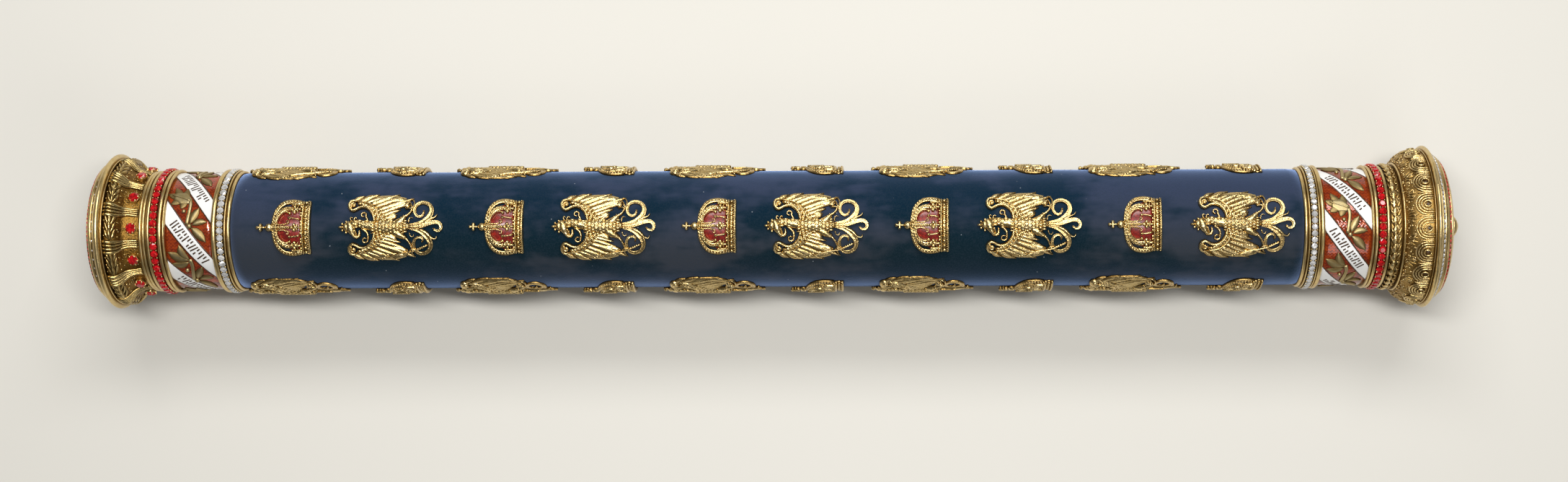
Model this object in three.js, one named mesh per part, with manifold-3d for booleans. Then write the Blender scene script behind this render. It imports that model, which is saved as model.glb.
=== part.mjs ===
// A field marshal's baton: a velvet tube set with four rows of gilt eagles and crowns,
// and at each end a gilt mount with bands of rubies, diamonds and enamel under a flanged cap.
// Millimetres. The baton's own axis is X, with x = 0 where the velvet starts on the left.
// An angle is measured round that axis from straight up, and grows towards +Y.
import * as THREE from "three";
import { mergeVertices } from "three/addons/utils/BufferGeometryUtils.js";
import Module from "manifold-3d";

const wasm = await Module();
wasm.setup();

// Clearances and facets
const JOINT_GAP = 0.3;
const ORNAMENT_GAP = 0.12;
const TURNED_SIDES = 24;

// Velvet tube
const TUBE_RADIUS = 20.05;
const TUBE_LENGTH = 362.8;

// Rows of eagles and crowns on the velvet
const ROW_COUNT = 4;
const ROW_TURN = 3;
const STATIONS_PER_ROW = 10;
const FIRST_STATION_DISTANCE = 18.3;
const LAST_STATION_DISTANCE = 20.95;
const STATION_PITCH =
  (TUBE_LENGTH - FIRST_STATION_DISTANCE - LAST_STATION_DISTANCE) / (STATIONS_PER_ROW - 1);
const ORNAMENT_THICKNESS = 1.3;
const ORNAMENT_FACET = 24.3;
const EAGLE_LENGTH = 34.8;
const EAGLE_SPAN = 23.4;
const EAGLE_BODY_LENGTH = 21;
const EAGLE_BODY_WIDTH = 7;
const EAGLE_BODY_OFFSET = 1;
const EAGLE_BODY_RELIEF_HEIGHT = 1.1;
const CROWN_LENGTH = 18.1;
const CROWN_SPAN = 19.2;

// Bands of stones beside the velvet: a lip, a seat with the stones, and a roll
const STONE_SEAT_DEPTH = 1.4;
const STONE_STANDS_PROUD = 0.15;
const LIP_RADIUS = 20.9;
const LIP_WIDTH = 2.1;
const DIAMOND_SEAT_WIDTH = 2.6;
const DIAMOND_ROLL_RADIUS = 21.3;
const LEFT_DIAMOND_ROLL_WIDTH = 1.7;
const RIGHT_DIAMOND_ROLL_WIDTH = 2.2;
const LEFT_DIAMOND_COUNT = 56;
const RIGHT_DIAMOND_COUNT = 60;

// Enamel bands
const ENAMEL_RADIUS = 20.15;
const LEFT_ENAMEL_WIDTH = 15.5;
const RIGHT_ENAMEL_WIDTH = 15.8;

// Ruby bands: a shoulder beside the enamel, a seat with the stones, and a shoulder beside the cap
const RUBY_SEAT_WIDTH = 2.7;
const RUBY_SHOULDER_RADIUS = 21.1;
const LEFT_RUBY_INNER_WIDTH = 2.6;
const LEFT_RUBY_OUTER_WIDTH = 2.6;
const RIGHT_RUBY_INNER_WIDTH = 2.3;
const RIGHT_RUBY_OUTER_WIDTH = 1.1;
const LEFT_RUBY_COUNT = 50;
const RIGHT_RUBY_COUNT = 50;

// Left cap: a ringed neck, a bell with reeds and set stones, and a flange
const NECK_RING_RADIUS = 20.75;
const NECK_RING_WIDTH = 1.1;
const NECK_RADIUS = 20.0;
const BELL_LENGTH = 10.4;
const BELL_RADIUS = 24.7;
const REED_COUNT = 12;
const REED_TURN = 17.8;
const REED_HEIGHT = 0.7;
const SETTING_RADIUS = 1.85;
const SETTING_TOP_RADIUS = 21.9;
const SETTING_PLACE = 2.1;
const SETTING_SIDES = 6;
const LEFT_FLANGE_RADIUS = 26.75;
const LEFT_FLANGE_WIDTH = 3.3;

// Left end plate: a stepped low dome inside the flange
const LEFT_PLATE_RADIUS = 24.9;
const LEFT_PLATE_STEP = 2.5;
const LEFT_PLATE_TOP_RADIUS = 22.9;
const LEFT_PLATE_CROWN = 2.9;

// Garland ring before the right cap
const GARLAND_RADIUS = 22.1;
const GARLAND_WIDTH = 4.4;
const GARLAND_LEAVES = 42;
const GARLAND_CUT = 0.55;

// Right cap: a thin ring, an ovolo carved with leaves, and a flange
const RIGHT_RING_WIDTH = 0.6;
const OVOLO_START_RADIUS = 22.2;
const OVOLO_RADIUS = 27.0;
const OVOLO_LENGTH = 8.5;
const OVOLO_LEAVES = 20;
const OVOLO_TURN = -1.3;
const OVOLO_CUT = 0.6;
const RIGHT_FLANGE_RADIUS = 27.95;
const RIGHT_FLANGE_WIDTH = 2.7;

// Right end plate with its boss
const RIGHT_PLATE_RADIUS = 25.9;
const RIGHT_PLATE_STEP = 4.1;
const RIGHT_PLATE_TOP_RADIUS = 21.9;
const RIGHT_PLATE_CROWN = 2.6;
const BOSS_RADIUS = 4.6;
const BOSS_HEIGHT = 4.4;

// Flat spots that keep the baton from rolling, cut into both flanges by the table it lies on
const FLAT_DEPTH = 0.3;

const gilt = () => new THREE.MeshStandardMaterial({ color: 0xc79a4b, metalness: 1, roughness: 0.32 });
const velvet = () => new THREE.MeshStandardMaterial({ color: 0x14304a, metalness: 0, roughness: 0.95 });
const enamel = () => new THREE.MeshStandardMaterial({ color: 0xc03a1c, metalness: 0, roughness: 0.2 });
const ruby = () => new THREE.MeshStandardMaterial({ color: 0xb3123f, metalness: 0, roughness: 0.08 });
const diamond = () => new THREE.MeshStandardMaterial({ color: 0xe9eef5, metalness: 0, roughness: 0.05 });

const radians = THREE.MathUtils.degToRad;

// The two ends: where the velvet stops, and which way is outwards.
// A distance along a mount is measured outwards from there.
const LEFT = { start: 0, outward: -1 };
const RIGHT = { start: TUBE_LENGTH, outward: 1 };

// The lengths of each mount, added up from the velvet outwards.
function stackedStops(widths) {
  const stops = {};
  let reached = 0;
  for (const [name, width] of Object.entries(widths)) {
    stops[name] = { from: reached + JOINT_GAP, to: reached + width };
    reached += width;
  }
  return stops;
}

const leftStops = stackedStops({
  diamonds: LIP_WIDTH + DIAMOND_SEAT_WIDTH + LEFT_DIAMOND_ROLL_WIDTH,
  enamel: LEFT_ENAMEL_WIDTH,
  rubies: LEFT_RUBY_INNER_WIDTH + RUBY_SEAT_WIDTH + LEFT_RUBY_OUTER_WIDTH,
  cap: NECK_RING_WIDTH + BELL_LENGTH + LEFT_FLANGE_WIDTH + JOINT_GAP,
  plate: LEFT_PLATE_STEP + LEFT_PLATE_CROWN + JOINT_GAP,
});

const rightStops = stackedStops({
  diamonds: LIP_WIDTH + DIAMOND_SEAT_WIDTH + RIGHT_DIAMOND_ROLL_WIDTH,
  enamel: RIGHT_ENAMEL_WIDTH,
  rubies: RIGHT_RUBY_INNER_WIDTH + RUBY_SEAT_WIDTH + RIGHT_RUBY_OUTER_WIDTH,
  garland: GARLAND_WIDTH,
  cap: RIGHT_RING_WIDTH + OVOLO_LENGTH + RIGHT_FLANGE_WIDTH + JOINT_GAP,
  plate: RIGHT_PLATE_STEP + RIGHT_PLATE_CROWN + JOINT_GAP,
  boss: BOSS_HEIGHT,
});

// A profile of [distance outwards, radius] pairs turned round the axis.
// carve(distance, radius, angle) gives the radius at each corner of the turned surface.
function turned(end, profile, sides = TURNED_SIDES, carve = null, turn = 0) {
  const points = profile.map(([distance, radius]) => new THREE.Vector2(radius, distance * end.outward));
  if (end.outward < 0) points.reverse();
  const geometry = new THREE.LatheGeometry(points, sides, radians(-turn));
  if (carve) {
    const corners = geometry.getAttribute("position");
    for (let i = 0; i < corners.count; i++) {
      const radius = Math.hypot(corners.getX(i), corners.getZ(i));
      const angle = Math.atan2(-corners.getX(i), corners.getZ(i));
      const scale = radius > 0 ? carve(corners.getY(i) * end.outward, radius, angle) / radius : 1;
      corners.setXYZ(i, corners.getX(i) * scale, corners.getY(i), corners.getZ(i) * scale);
    }
  }
  return geometry.rotateZ(-Math.PI / 2).translate(end.start, 0, 0);
}

// A profile that runs from the axis over the given rim and back to the axis.
const closedOnAxis = (rim) => [[rim[0][0], 0], ...rim, [rim[rim.length - 1][0], 0]];

// A geometry as a solid for joining and cutting, and back.
function solidOf(geometry) {
  const bare = geometry.index ? geometry.toNonIndexed() : geometry.clone();
  bare.deleteAttribute("normal");
  bare.deleteAttribute("uv");
  const merged = mergeVertices(bare, 1e-3);
  return new wasm.Manifold(
    new wasm.Mesh({
      numProp: 3,
      vertProperties: merged.getAttribute("position").array,
      triVerts: new Uint32Array(merged.index.array),
    }),
  );
}

function geometryOf(solid) {
  const mesh = solid.getMesh();
  const geometry = new THREE.BufferGeometry();
  geometry.setAttribute("position", new THREE.BufferAttribute(mesh.vertProperties, 3));
  geometry.setIndex(new THREE.BufferAttribute(mesh.triVerts, 1));
  geometry.computeVertexNormals();
  return geometry;
}

// A band with a seat for stones: one shoulder, the seat, and the other shoulder.
function stoneBand(end, stop, seatFrom, seatWidth, innerRadius, outerRadius) {
  const seatRadius = Math.min(innerRadius, outerRadius) - STONE_SEAT_DEPTH;
  return turned(
    end,
    closedOnAxis([
      [stop.from, innerRadius],
      [seatFrom, innerRadius],
      [seatFrom, seatRadius],
      [seatFrom + seatWidth, seatRadius],
      [seatFrom + seatWidth, outerRadius],
      [stop.to, outerRadius],
    ]),
  );
}

// The stones in a seat, as one closed row: each is a four-sided point over a pointed foot.
function stoneRow(end, seatFrom, seatWidth, innerRadius, outerRadius, count) {
  const seatRadius = Math.min(innerRadius, outerRadius) - STONE_SEAT_DEPTH;
  const footRadius = seatRadius + JOINT_GAP;
  const girdleRadius = Math.min(innerRadius, outerRadius) - STONE_STANDS_PROUD;
  const pointRadius = Math.max(innerRadius, outerRadius) + STONE_STANDS_PROUD;
  const near = seatFrom + JOINT_GAP;
  const far = seatFrom + seatWidth - JOINT_GAP;
  const middle = (near + far) / 2;
  const corners = [];
  const place = (distance, radius, angle) =>
    corners.push(end.start + end.outward * distance, radius * Math.sin(angle), radius * Math.cos(angle));
  for (let i = 0; i < count; i++) {
    const angle = (2 * Math.PI * i) / count;
    place(near, girdleRadius, angle);
    place(far, girdleRadius, angle);
    place(middle, footRadius, angle);
    place(middle, pointRadius, angle + Math.PI / count);
  }
  const faces = [];
  const quad = (a, b, c, d) => faces.push([a, b, c], [a, c, d]);
  for (let i = 0; i < count; i++) {
    const here = 4 * i;
    const next = 4 * ((i + 1) % count);
    quad(here + 2, next + 2, next, here);
    quad(here + 1, next + 1, next + 2, here + 2);
    const tip = here + 3;
    faces.push([here, next, tip], [next, next + 1, tip]);
    faces.push([next + 1, here + 1, tip], [here + 1, here, tip]);
  }
  const facesOut = end.outward < 0 ? faces : faces.map(([a, b, c]) => [a, c, b]);
  const geometry = new THREE.BufferGeometry();
  geometry.setAttribute("position", new THREE.Float32BufferAttribute(corners, 3));
  geometry.setIndex(facesOut.flat());
  geometry.computeVertexNormals();
  return geometry;
}

// The table under the baton, as a slab to cut with, in the baton's own frame.
// It passes a little inside both flanges, so it leans by the difference of their radii.
const flangeCrest = (end, stops, width) => end.start + end.outward * (stops.cap.to - 0.4 * width);
const leftFlangeX = flangeCrest(LEFT, leftStops, LEFT_FLANGE_WIDTH);
const rightFlangeX = flangeCrest(RIGHT, rightStops, RIGHT_FLANGE_WIDTH);
const lean = Math.atan2(RIGHT_FLANGE_RADIUS - LEFT_FLANGE_RADIUS, rightFlangeX - leftFlangeX);

function tableSlab() {
  const length = 4 * (rightFlangeX - leftFlangeX);
  const thickness = RIGHT_FLANGE_RADIUS;
  return new THREE.BoxGeometry(length, length, thickness)
    .translate(0, 0, -thickness / 2)
    .rotateY(lean)
    .translate(leftFlangeX, 0, FLAT_DEPTH / Math.cos(lean) - LEFT_FLANGE_RADIUS);
}

const onTable = (geometry) => geometryOf(solidOf(geometry).subtract(solidOf(tableSlab())));

// The rounded rim of a flange. Its crest is nearer to its outer side.
const flangeRim = (from, width, radius) => [
  [from, radius - 0.42 * width],
  [from + 0.45 * width, radius],
  [from + 0.75 * width, radius],
  [from + width, radius - 0.28 * width],
];

function leftCap() {
  const neckEnd = leftStops.cap.from + NECK_RING_WIDTH;
  const bellEnd = neckEnd + BELL_LENGTH;
  const along = (share) => neckEnd + share * BELL_LENGTH;
  const bell = (share, rise) => [along(share), NECK_RADIUS + rise * (BELL_RADIUS - NECK_RADIUS)];
  const profile = closedOnAxis([
    [leftStops.cap.from, NECK_RING_RADIUS],
    [neckEnd, NECK_RING_RADIUS],
    bell(0.06, 0),
    bell(0.42, 0.32),
    bell(0.72, 0.78),
    bell(0.94, 1),
    ...flangeRim(bellEnd, LEFT_FLANGE_WIDTH, LEFT_FLANGE_RADIUS),
  ]);
  const onBell = (distance) => distance > neckEnd && distance < bellEnd;
  const reedAngle = radians(REED_TURN);
  const reeds = (distance, radius, angle) =>
    onBell(distance) ? radius + REED_HEIGHT * Math.max(0, Math.cos(REED_COUNT * (angle - reedAngle))) : radius;
  let cap = solidOf(turned(LEFT, profile, 3 * REED_COUNT, reeds, REED_TURN));
  const depth = SETTING_TOP_RADIUS - NECK_RADIUS + SETTING_RADIUS;
  for (let i = 0; i < REED_COUNT; i++) {
    const setting = new THREE.CylinderGeometry(SETTING_RADIUS, SETTING_RADIUS, depth, SETTING_SIDES)
      .rotateX(Math.PI / 2)
      .translate(-along(0) - SETTING_PLACE, 0, SETTING_TOP_RADIUS - depth / 2)
      .rotateX(-reedAngle - (2 * Math.PI * (i + 0.5)) / REED_COUNT);
    cap = cap.add(solidOf(setting));
  }
  return onTable(geometryOf(cap));
}

function rightCap() {
  const ringEnd = rightStops.cap.from + RIGHT_RING_WIDTH;
  const ovoloEnd = ringEnd + OVOLO_LENGTH;
  const rise = OVOLO_RADIUS - OVOLO_START_RADIUS;
  const quarter = (share) => [
    ringEnd + OVOLO_LENGTH * (1 - Math.cos(share * (Math.PI / 2))),
    OVOLO_START_RADIUS + rise * Math.sin(share * (Math.PI / 2)),
  ];
  const profile = closedOnAxis([
    [rightStops.cap.from, GARLAND_RADIUS],
    [ringEnd, GARLAND_RADIUS],
    quarter(0.3),
    quarter(0.65),
    quarter(0.98),
    ...flangeRim(ovoloEnd, RIGHT_FLANGE_WIDTH, RIGHT_FLANGE_RADIUS),
  ]);
  const onOvolo = (distance) => distance > ringEnd && distance < ovoloEnd;
  const middle = radians(OVOLO_TURN);
  const leaves = (distance, radius, angle) =>
    onOvolo(distance) ? radius - OVOLO_CUT * (0.5 - 0.5 * Math.cos(OVOLO_LEAVES * (angle - middle))) : radius;
  return onTable(turned(RIGHT, profile, 2 * OVOLO_LEAVES, leaves, OVOLO_TURN));
}

function garland() {
  const { from, to } = rightStops.garland;
  const profile = closedOnAxis([
    [from, GARLAND_RADIUS],
    [to, GARLAND_RADIUS],
  ]);
  const cuts = (distance, radius, angle) =>
    radius - GARLAND_CUT * (0.5 - 0.5 * Math.cos(GARLAND_LEAVES * angle));
  return turned(RIGHT, profile, 2 * GARLAND_LEAVES, cuts);
}

// A stepped low dome: it draws in over the step, then rises to its middle.
function endPlate(end, stop, radius, step, topRadius, middleRadius) {
  const draw = radius - topRadius;
  return turned(
    end,
    [
      [stop.from, 0],
      [stop.from, radius],
      [stop.from + 0.35 * step, radius - 0.12 * draw],
      [stop.from + 0.8 * step, topRadius + 0.3 * draw],
      [stop.from + step, topRadius],
      ...(middleRadius > 0 ? [[stop.to, middleRadius]] : []),
      [stop.to, 0],
    ],
  );
}

// An eagle's outline, as shares of its length and half its span, head first, going round from the crown it wears.
// Its head looks to the photograph's lower side.
const EAGLE_OUTLINE = [
  [-0.5, 0.0],
  [-0.37, 0.24],
  [-0.165, 0.17],
  [-0.2, 0.53],
  [-0.33, 0.46],
  [-0.41, 0.66],
  [-0.3, 0.94],
  [-0.26, 0.84],
  [-0.16, 0.98],
  [-0.12, 0.88],
  [0.03, 0.96],
  [0.06, 0.85],
  [0.17, 0.87],
  [0.235, 0.65],
  [0.13, 0.28],
  [0.2, 0.05],
  [0.34, 0.35],
  [0.25, 0.76],
  [0.36, 0.66],
  [0.385, 0.2],
  [0.5, 0.0],
  [0.4, -0.12],
  [0.42, -0.5],
  [0.33, -0.8],
  [0.33, -0.45],
  [0.19, -0.1],
  [0.14, -0.4],
  [0.24, -0.84],
  [0.05, -0.98],
  [-0.02, -0.9],
  [-0.14, -1.0],
  [-0.2, -0.9],
  [-0.3, -0.95],
  [-0.405, -0.62],
  [-0.3, -0.5],
  [-0.2, -0.5],
  [-0.16, -0.16],
  [-0.33, -0.33],
];

// A crown's outline in the same way: cross, orb, arched top and band.
const CROWN_OUTLINE = [
  [-0.5, 0.06],
  [-0.22, 0.13],
  [-0.17, 0.55],
  [0.0, 0.92],
  [0.18, 1.0],
  [0.5, 0.92],
  [0.5, -0.92],
  [0.18, -1.0],
  [0.0, -0.92],
  [-0.17, -0.55],
  [-0.22, -0.13],
  [-0.5, -0.06],
];

// The curved slab that an ornament is cut from: three flat facets round the tube.
// The tube's roundness reaches furthest into the middle of a facet, so the slab is lifted by that much.
const ornamentInner = (TUBE_RADIUS + ORNAMENT_GAP) / Math.cos(radians(ORNAMENT_FACET / 2));

function ornamentSlab(length) {
  const inner = ornamentInner;
  const outer = inner + ORNAMENT_THICKNESS;
  const angles = [-1.5, -0.5, 0.5, 1.5].map((facets) => radians(facets * ORNAMENT_FACET));
  const arc = (radius, list) => list.map((a) => new THREE.Vector2(radius * Math.sin(a), radius * Math.cos(a)));
  const section = new THREE.Shape([...arc(inner, angles), ...arc(outer, [...angles].reverse())]);
  const slab = new THREE.ExtrudeGeometry(section, { depth: length, bevelEnabled: false });
  const across = new THREE.Vector3(0, 1, 0);
  const outwards = new THREE.Vector3(0, 0, 1);
  const along = new THREE.Vector3(1, 0, 0);
  return slab.applyMatrix4(new THREE.Matrix4().makeBasis(across, outwards, along)).translate(-length / 2, 0, 0);
}

// An ornament in its own frame: X along the baton, Z straight out from the axis.
// Its outline goes through the curved slab, which is the ornament's plate.
function ornamentPlate(outline, length, span) {
  const shape = new THREE.Shape(outline.map(([u, v]) => new THREE.Vector2(u * length, v * (span / 2))));
  const reach = TUBE_RADIUS + 2 * ORNAMENT_THICKNESS;
  const prism = new THREE.ExtrudeGeometry(shape, { depth: reach, bevelEnabled: false });
  prism.translate(0, 0, TUBE_RADIUS / 2);
  return solidOf(ornamentSlab(2 * length)).intersect(solidOf(prism));
}

// The eagle's body stands out of its plate as a long four-sided boss.
function eagle() {
  const base = ornamentInner + ORNAMENT_THICKNESS / 2;
  const height = ORNAMENT_THICKNESS / 2 + EAGLE_BODY_RELIEF_HEIGHT;
  const body = new THREE.ConeGeometry(1, height, 4)
    .rotateX(Math.PI / 2)
    .scale(EAGLE_BODY_LENGTH / 2, EAGLE_BODY_WIDTH / 2, 1)
    .translate(-EAGLE_BODY_OFFSET, 0, base + height / 2);
  return geometryOf(ornamentPlate(EAGLE_OUTLINE, EAGLE_LENGTH, EAGLE_SPAN).add(solidOf(body)));
}

const eagleGeometry = eagle();
const crownGeometry = geometryOf(ornamentPlate(CROWN_OUTLINE, CROWN_LENGTH, CROWN_SPAN));

const baton = new THREE.Group();

function add(name, geometry, material) {
  const mesh = new THREE.Mesh(geometry, material);
  mesh.name = name;
  baton.add(mesh);
  return mesh;
}

function velvetTube() {
  const rim = [
    [0, TUBE_RADIUS],
    [TUBE_LENGTH, TUBE_RADIUS],
  ];
  return turned({ start: 0, outward: 1 }, closedOnAxis(rim), TURNED_SIDES, null, ROW_TURN);
}

// Rows that start with a crown take turns with rows that start with an eagle.
function addOrnaments() {
  const counts = { eagle: 0, crown: 0 };
  for (let row = 0; row < ROW_COUNT; row++) {
    const angle = radians(ROW_TURN + (360 / ROW_COUNT) * row);
    for (let station = 0; station < STATIONS_PER_ROW; station++) {
      const kind = (row + station) % 2 === 0 ? "crown" : "eagle";
      counts[kind] += 1;
      const name = kind + "_" + String(counts[kind]).padStart(2, "0");
      const mesh = add(name, kind === "eagle" ? eagleGeometry : crownGeometry, gilt());
      mesh.position.x = FIRST_STATION_DISTANCE + station * STATION_PITCH;
      mesh.rotation.x = -angle;
    }
  }
}

function enamelBand(end, stop) {
  const rim = [
    [stop.from, ENAMEL_RADIUS],
    [stop.to, ENAMEL_RADIUS],
  ];
  return turned(end, closedOnAxis(rim));
}

function addBands(side, end, stops, sizes) {
  const diamondSeat = LIP_WIDTH;
  add(
    "diamond_band_" + side,
    stoneBand(end, stops.diamonds, diamondSeat, DIAMOND_SEAT_WIDTH, LIP_RADIUS, DIAMOND_ROLL_RADIUS),
    gilt(),
  );
  add(
    "diamonds_" + side,
    stoneRow(end, diamondSeat, DIAMOND_SEAT_WIDTH, LIP_RADIUS, DIAMOND_ROLL_RADIUS, sizes.diamonds),
    diamond(),
  );
  add("enamel_band_" + side, enamelBand(end, stops.enamel), enamel());
  const rubySeat = stops.enamel.to + sizes.rubyInnerWidth;
  add(
    "ruby_band_" + side,
    stoneBand(end, stops.rubies, rubySeat, RUBY_SEAT_WIDTH, RUBY_SHOULDER_RADIUS, RUBY_SHOULDER_RADIUS),
    gilt(),
  );
  add(
    "rubies_" + side,
    stoneRow(end, rubySeat, RUBY_SEAT_WIDTH, RUBY_SHOULDER_RADIUS, RUBY_SHOULDER_RADIUS, sizes.rubies),
    ruby(),
  );
}

function boss() {
  const { from, to } = rightStops.boss;
  const rim = [
    [from, BOSS_RADIUS],
    [(from + to) / 2, BOSS_RADIUS],
    [to, BOSS_RADIUS / 2],
  ];
  return turned(RIGHT, closedOnAxis(rim), TURNED_SIDES / 2);
}

add("velvet_tube", velvetTube(), velvet());
addOrnaments();
addBands("left", LEFT, leftStops, {
  diamonds: LEFT_DIAMOND_COUNT,
  rubies: LEFT_RUBY_COUNT,
  rubyInnerWidth: LEFT_RUBY_INNER_WIDTH,
});
addBands("right", RIGHT, rightStops, {
  diamonds: RIGHT_DIAMOND_COUNT,
  rubies: RIGHT_RUBY_COUNT,
  rubyInnerWidth: RIGHT_RUBY_INNER_WIDTH,
});
add("cap_left", leftCap(), gilt());
add(
  "end_plate_left",
  endPlate(LEFT, leftStops.plate, LEFT_PLATE_RADIUS, LEFT_PLATE_STEP, LEFT_PLATE_TOP_RADIUS, 0),
  gilt(),
);
add("garland_ring", garland(), gilt());
add("cap_right", rightCap(), gilt());
add(
  "end_plate_right",
  endPlate(RIGHT, rightStops.plate, RIGHT_PLATE_RADIUS, RIGHT_PLATE_STEP, RIGHT_PLATE_TOP_RADIUS, BOSS_RADIUS),
  gilt(),
);
add("end_boss_right", boss(), gilt());

// The baton lies on the table on its two flats, so it leans back by the flanges' difference.
baton.rotation.y = -lean;
const field_marshal_baton = new THREE.Group();
field_marshal_baton.add(baton);
field_marshal_baton.updateMatrixWorld(true);
const box = new THREE.Box3().setFromObject(baton, true);
baton.position.x -= (box.min.x + box.max.x) / 2;
baton.position.y -= (box.min.y + box.max.y) / 2;
baton.position.z -= box.min.z;

export default field_marshal_baton;
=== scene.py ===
"""The looks of a field marshal's baton: velvet, gilt eagles and crowns, jewelled and enamelled mounts."""
import math

import bpy
import numpy as np
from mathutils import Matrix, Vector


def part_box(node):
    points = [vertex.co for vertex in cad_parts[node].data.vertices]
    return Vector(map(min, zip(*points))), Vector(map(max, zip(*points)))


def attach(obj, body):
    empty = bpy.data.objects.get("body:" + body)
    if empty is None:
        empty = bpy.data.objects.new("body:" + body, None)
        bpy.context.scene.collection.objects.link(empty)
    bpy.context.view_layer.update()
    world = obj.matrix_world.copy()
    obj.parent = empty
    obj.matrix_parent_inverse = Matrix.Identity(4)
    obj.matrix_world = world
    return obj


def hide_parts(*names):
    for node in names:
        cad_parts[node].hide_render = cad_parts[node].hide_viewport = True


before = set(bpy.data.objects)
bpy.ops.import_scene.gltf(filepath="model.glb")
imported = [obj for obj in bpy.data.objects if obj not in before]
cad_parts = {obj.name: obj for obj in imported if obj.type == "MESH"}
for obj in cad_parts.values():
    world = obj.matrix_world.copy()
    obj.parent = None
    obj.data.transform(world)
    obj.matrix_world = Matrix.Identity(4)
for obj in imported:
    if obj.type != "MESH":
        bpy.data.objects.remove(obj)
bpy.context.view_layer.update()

MM = 0.001
RAD = math.pi / 180

# Where the baton lies

ACROSS = np.array([0.0, 1.0, 0.0])


def node_middle(node):
    """The middle of a node's box, in millimetres."""
    low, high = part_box(node)
    return (np.array(low) + np.array(high)) / 2 / MM


def node_size(node):
    """The sides of a node's box, in millimetres."""
    low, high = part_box(node)
    return (np.array(high) - np.array(low)) / MM


ALONG = node_middle("diamond_band_right") - node_middle("diamond_band_left")
ALONG /= np.linalg.norm(ALONG)
UPWARD = np.cross(ALONG, ACROSS)


def node_length(node):
    """Length along the axis of a piece turned round it.

    The lean makes the piece's box longer by its width times the slope.
    """
    length, width, _ = node_size(node)
    return (length - width * abs(ALONG[2])) / ALONG[0]


TUBE_RADIUS = 20.05
TUBE_LENGTH = node_length("velvet_tube")
VELVET_START = node_middle("velvet_tube") - ALONG * TUBE_LENGTH / 2


class Mount:
    """A place to build from: a start along the axis, the way outwards, and a turn round the axis.

    A point is a distance outwards, an angle round from straight up, and a radius.
    """

    def __init__(self, start, outward=1, turn=0.0):
        self.start, self.outward, self.turn = start, outward, turn

    def place(self, points):
        """Start plus distance times the axis, plus radius times the direction at that angle, in metres."""
        distance, angle, radius = np.moveaxis(points, -1, 0)
        along = self.start + self.outward * distance
        turned = self.turn + self.outward * angle
        offset = along[..., None] * ALONG
        offset = offset + (radius * np.sin(turned))[..., None] * ACROSS
        offset = offset + (radius * np.cos(turned))[..., None] * UPWARD
        return (VELVET_START + offset) * MM

    def wrap(self, distance, round_axis, reference, radius):
        """Points laid round the axis, whose way round it is in millimetres at a reference radius."""
        return self.place(np.stack([distance, round_axis / reference, radius], -1))

    def span(self, node):
        """The distances outwards where a node starts and ends."""
        middle = np.dot(node_middle(node) - VELVET_START, ALONG)
        reach = (middle - self.start) * self.outward
        half = node_length(node) / 2
        return reach - half, reach + half


LEFT = Mount(0.0, -1)
RIGHT = Mount(TUBE_LENGTH, 1)
TUBE = Mount(0.0, 1)

# Surfaces worked out as grids


class Surfaces:
    """Closed surfaces gathered for one mesh, with how far each point stands out of the recesses, by which the
    gilding paints shade.
    """

    def __init__(self):
        self.points, self.lift, self.quads, self.fans = [], [], [], []
        self.quad_slots, self.fan_slots = [], []
        self.count = 0

    def add(self, grids, lift, slot=0):
        """Sections of points, each closed on itself, joined one to the next, with a fan over both ends.

        Points run anticlockwise seen from where the sections go. Leading dimensions are separate copies.
        """
        grids = np.asarray(grids, float)
        rows, around = grids.shape[-3:-1]
        grids = grids.reshape(-1, rows, around, 3)
        lift = np.broadcast_to(lift, grids.shape[:3])
        copies = len(grids)
        size = rows * around + 2
        ends = grids[:, [0, -1]].mean(axis=2)
        end_lift = lift[:, [0, -1]].mean(axis=2)
        self.points.append(np.concatenate([grids.reshape(copies, -1, 3), ends], axis=1).reshape(-1, 3))
        self.lift.append(np.concatenate([lift.reshape(copies, -1), end_lift], axis=1).ravel())
        row, column = np.meshgrid(np.arange(rows - 1), np.arange(around), indexing="ij")
        here = row * around + column
        beside = row * around + (column + 1) % around
        quads = np.stack([here, beside, beside + around, here + around], -1).reshape(-1, 4)
        column = np.arange(around)
        following = (column + 1) % around
        last = (rows - 1) * around
        first_fan = np.stack([np.full(around, size - 2), following, column], -1)
        last_fan = np.stack([np.full(around, size - 1), last + column, last + following], -1)
        fans = np.concatenate([first_fan, last_fan])
        offsets = self.count + size * np.arange(copies)[:, None, None]
        self.quads.append((quads + offsets).reshape(-1, 4))
        self.fans.append((fans + offsets).reshape(-1, 3))
        self.quad_slots.append(np.full(copies * len(quads), slot))
        self.fan_slots.append(np.full(copies * len(fans), slot))
        self.count += copies * size

    def mesh(self, name, place, on_table):
        """One mesh of all the surfaces, put in place, pressed flat where it meets the table."""
        points = place(np.concatenate(self.points))
        if on_table:
            points[:, 2] = np.maximum(points[:, 2], 0.0)
        quads, fans = np.concatenate(self.quads), np.concatenate(self.fans)
        corners = np.concatenate([quads.ravel(), fans.ravel()]).astype(np.int32)
        starts = np.concatenate([4 * np.arange(len(quads)), 4 * len(quads) + 3 * np.arange(len(fans))])
        mesh = bpy.data.meshes.new(name)
        mesh.vertices.add(len(points))
        mesh.vertices.foreach_set("co", points.ravel().astype(np.float32))
        mesh.loops.add(len(corners))
        mesh.loops.foreach_set("vertex_index", corners)
        mesh.polygons.add(len(starts))
        mesh.polygons.foreach_set("loop_start", starts.astype(np.int32))
        slots = np.concatenate(self.quad_slots + self.fan_slots).astype(np.int32)
        mesh.polygons.foreach_set("material_index", slots)
        mesh.update(calc_edges=True)
        lift = mesh.attributes.new("lift", "FLOAT", "POINT")
        lift.data.foreach_set("value", np.concatenate(self.lift).astype(np.float32))
        return mesh


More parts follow.
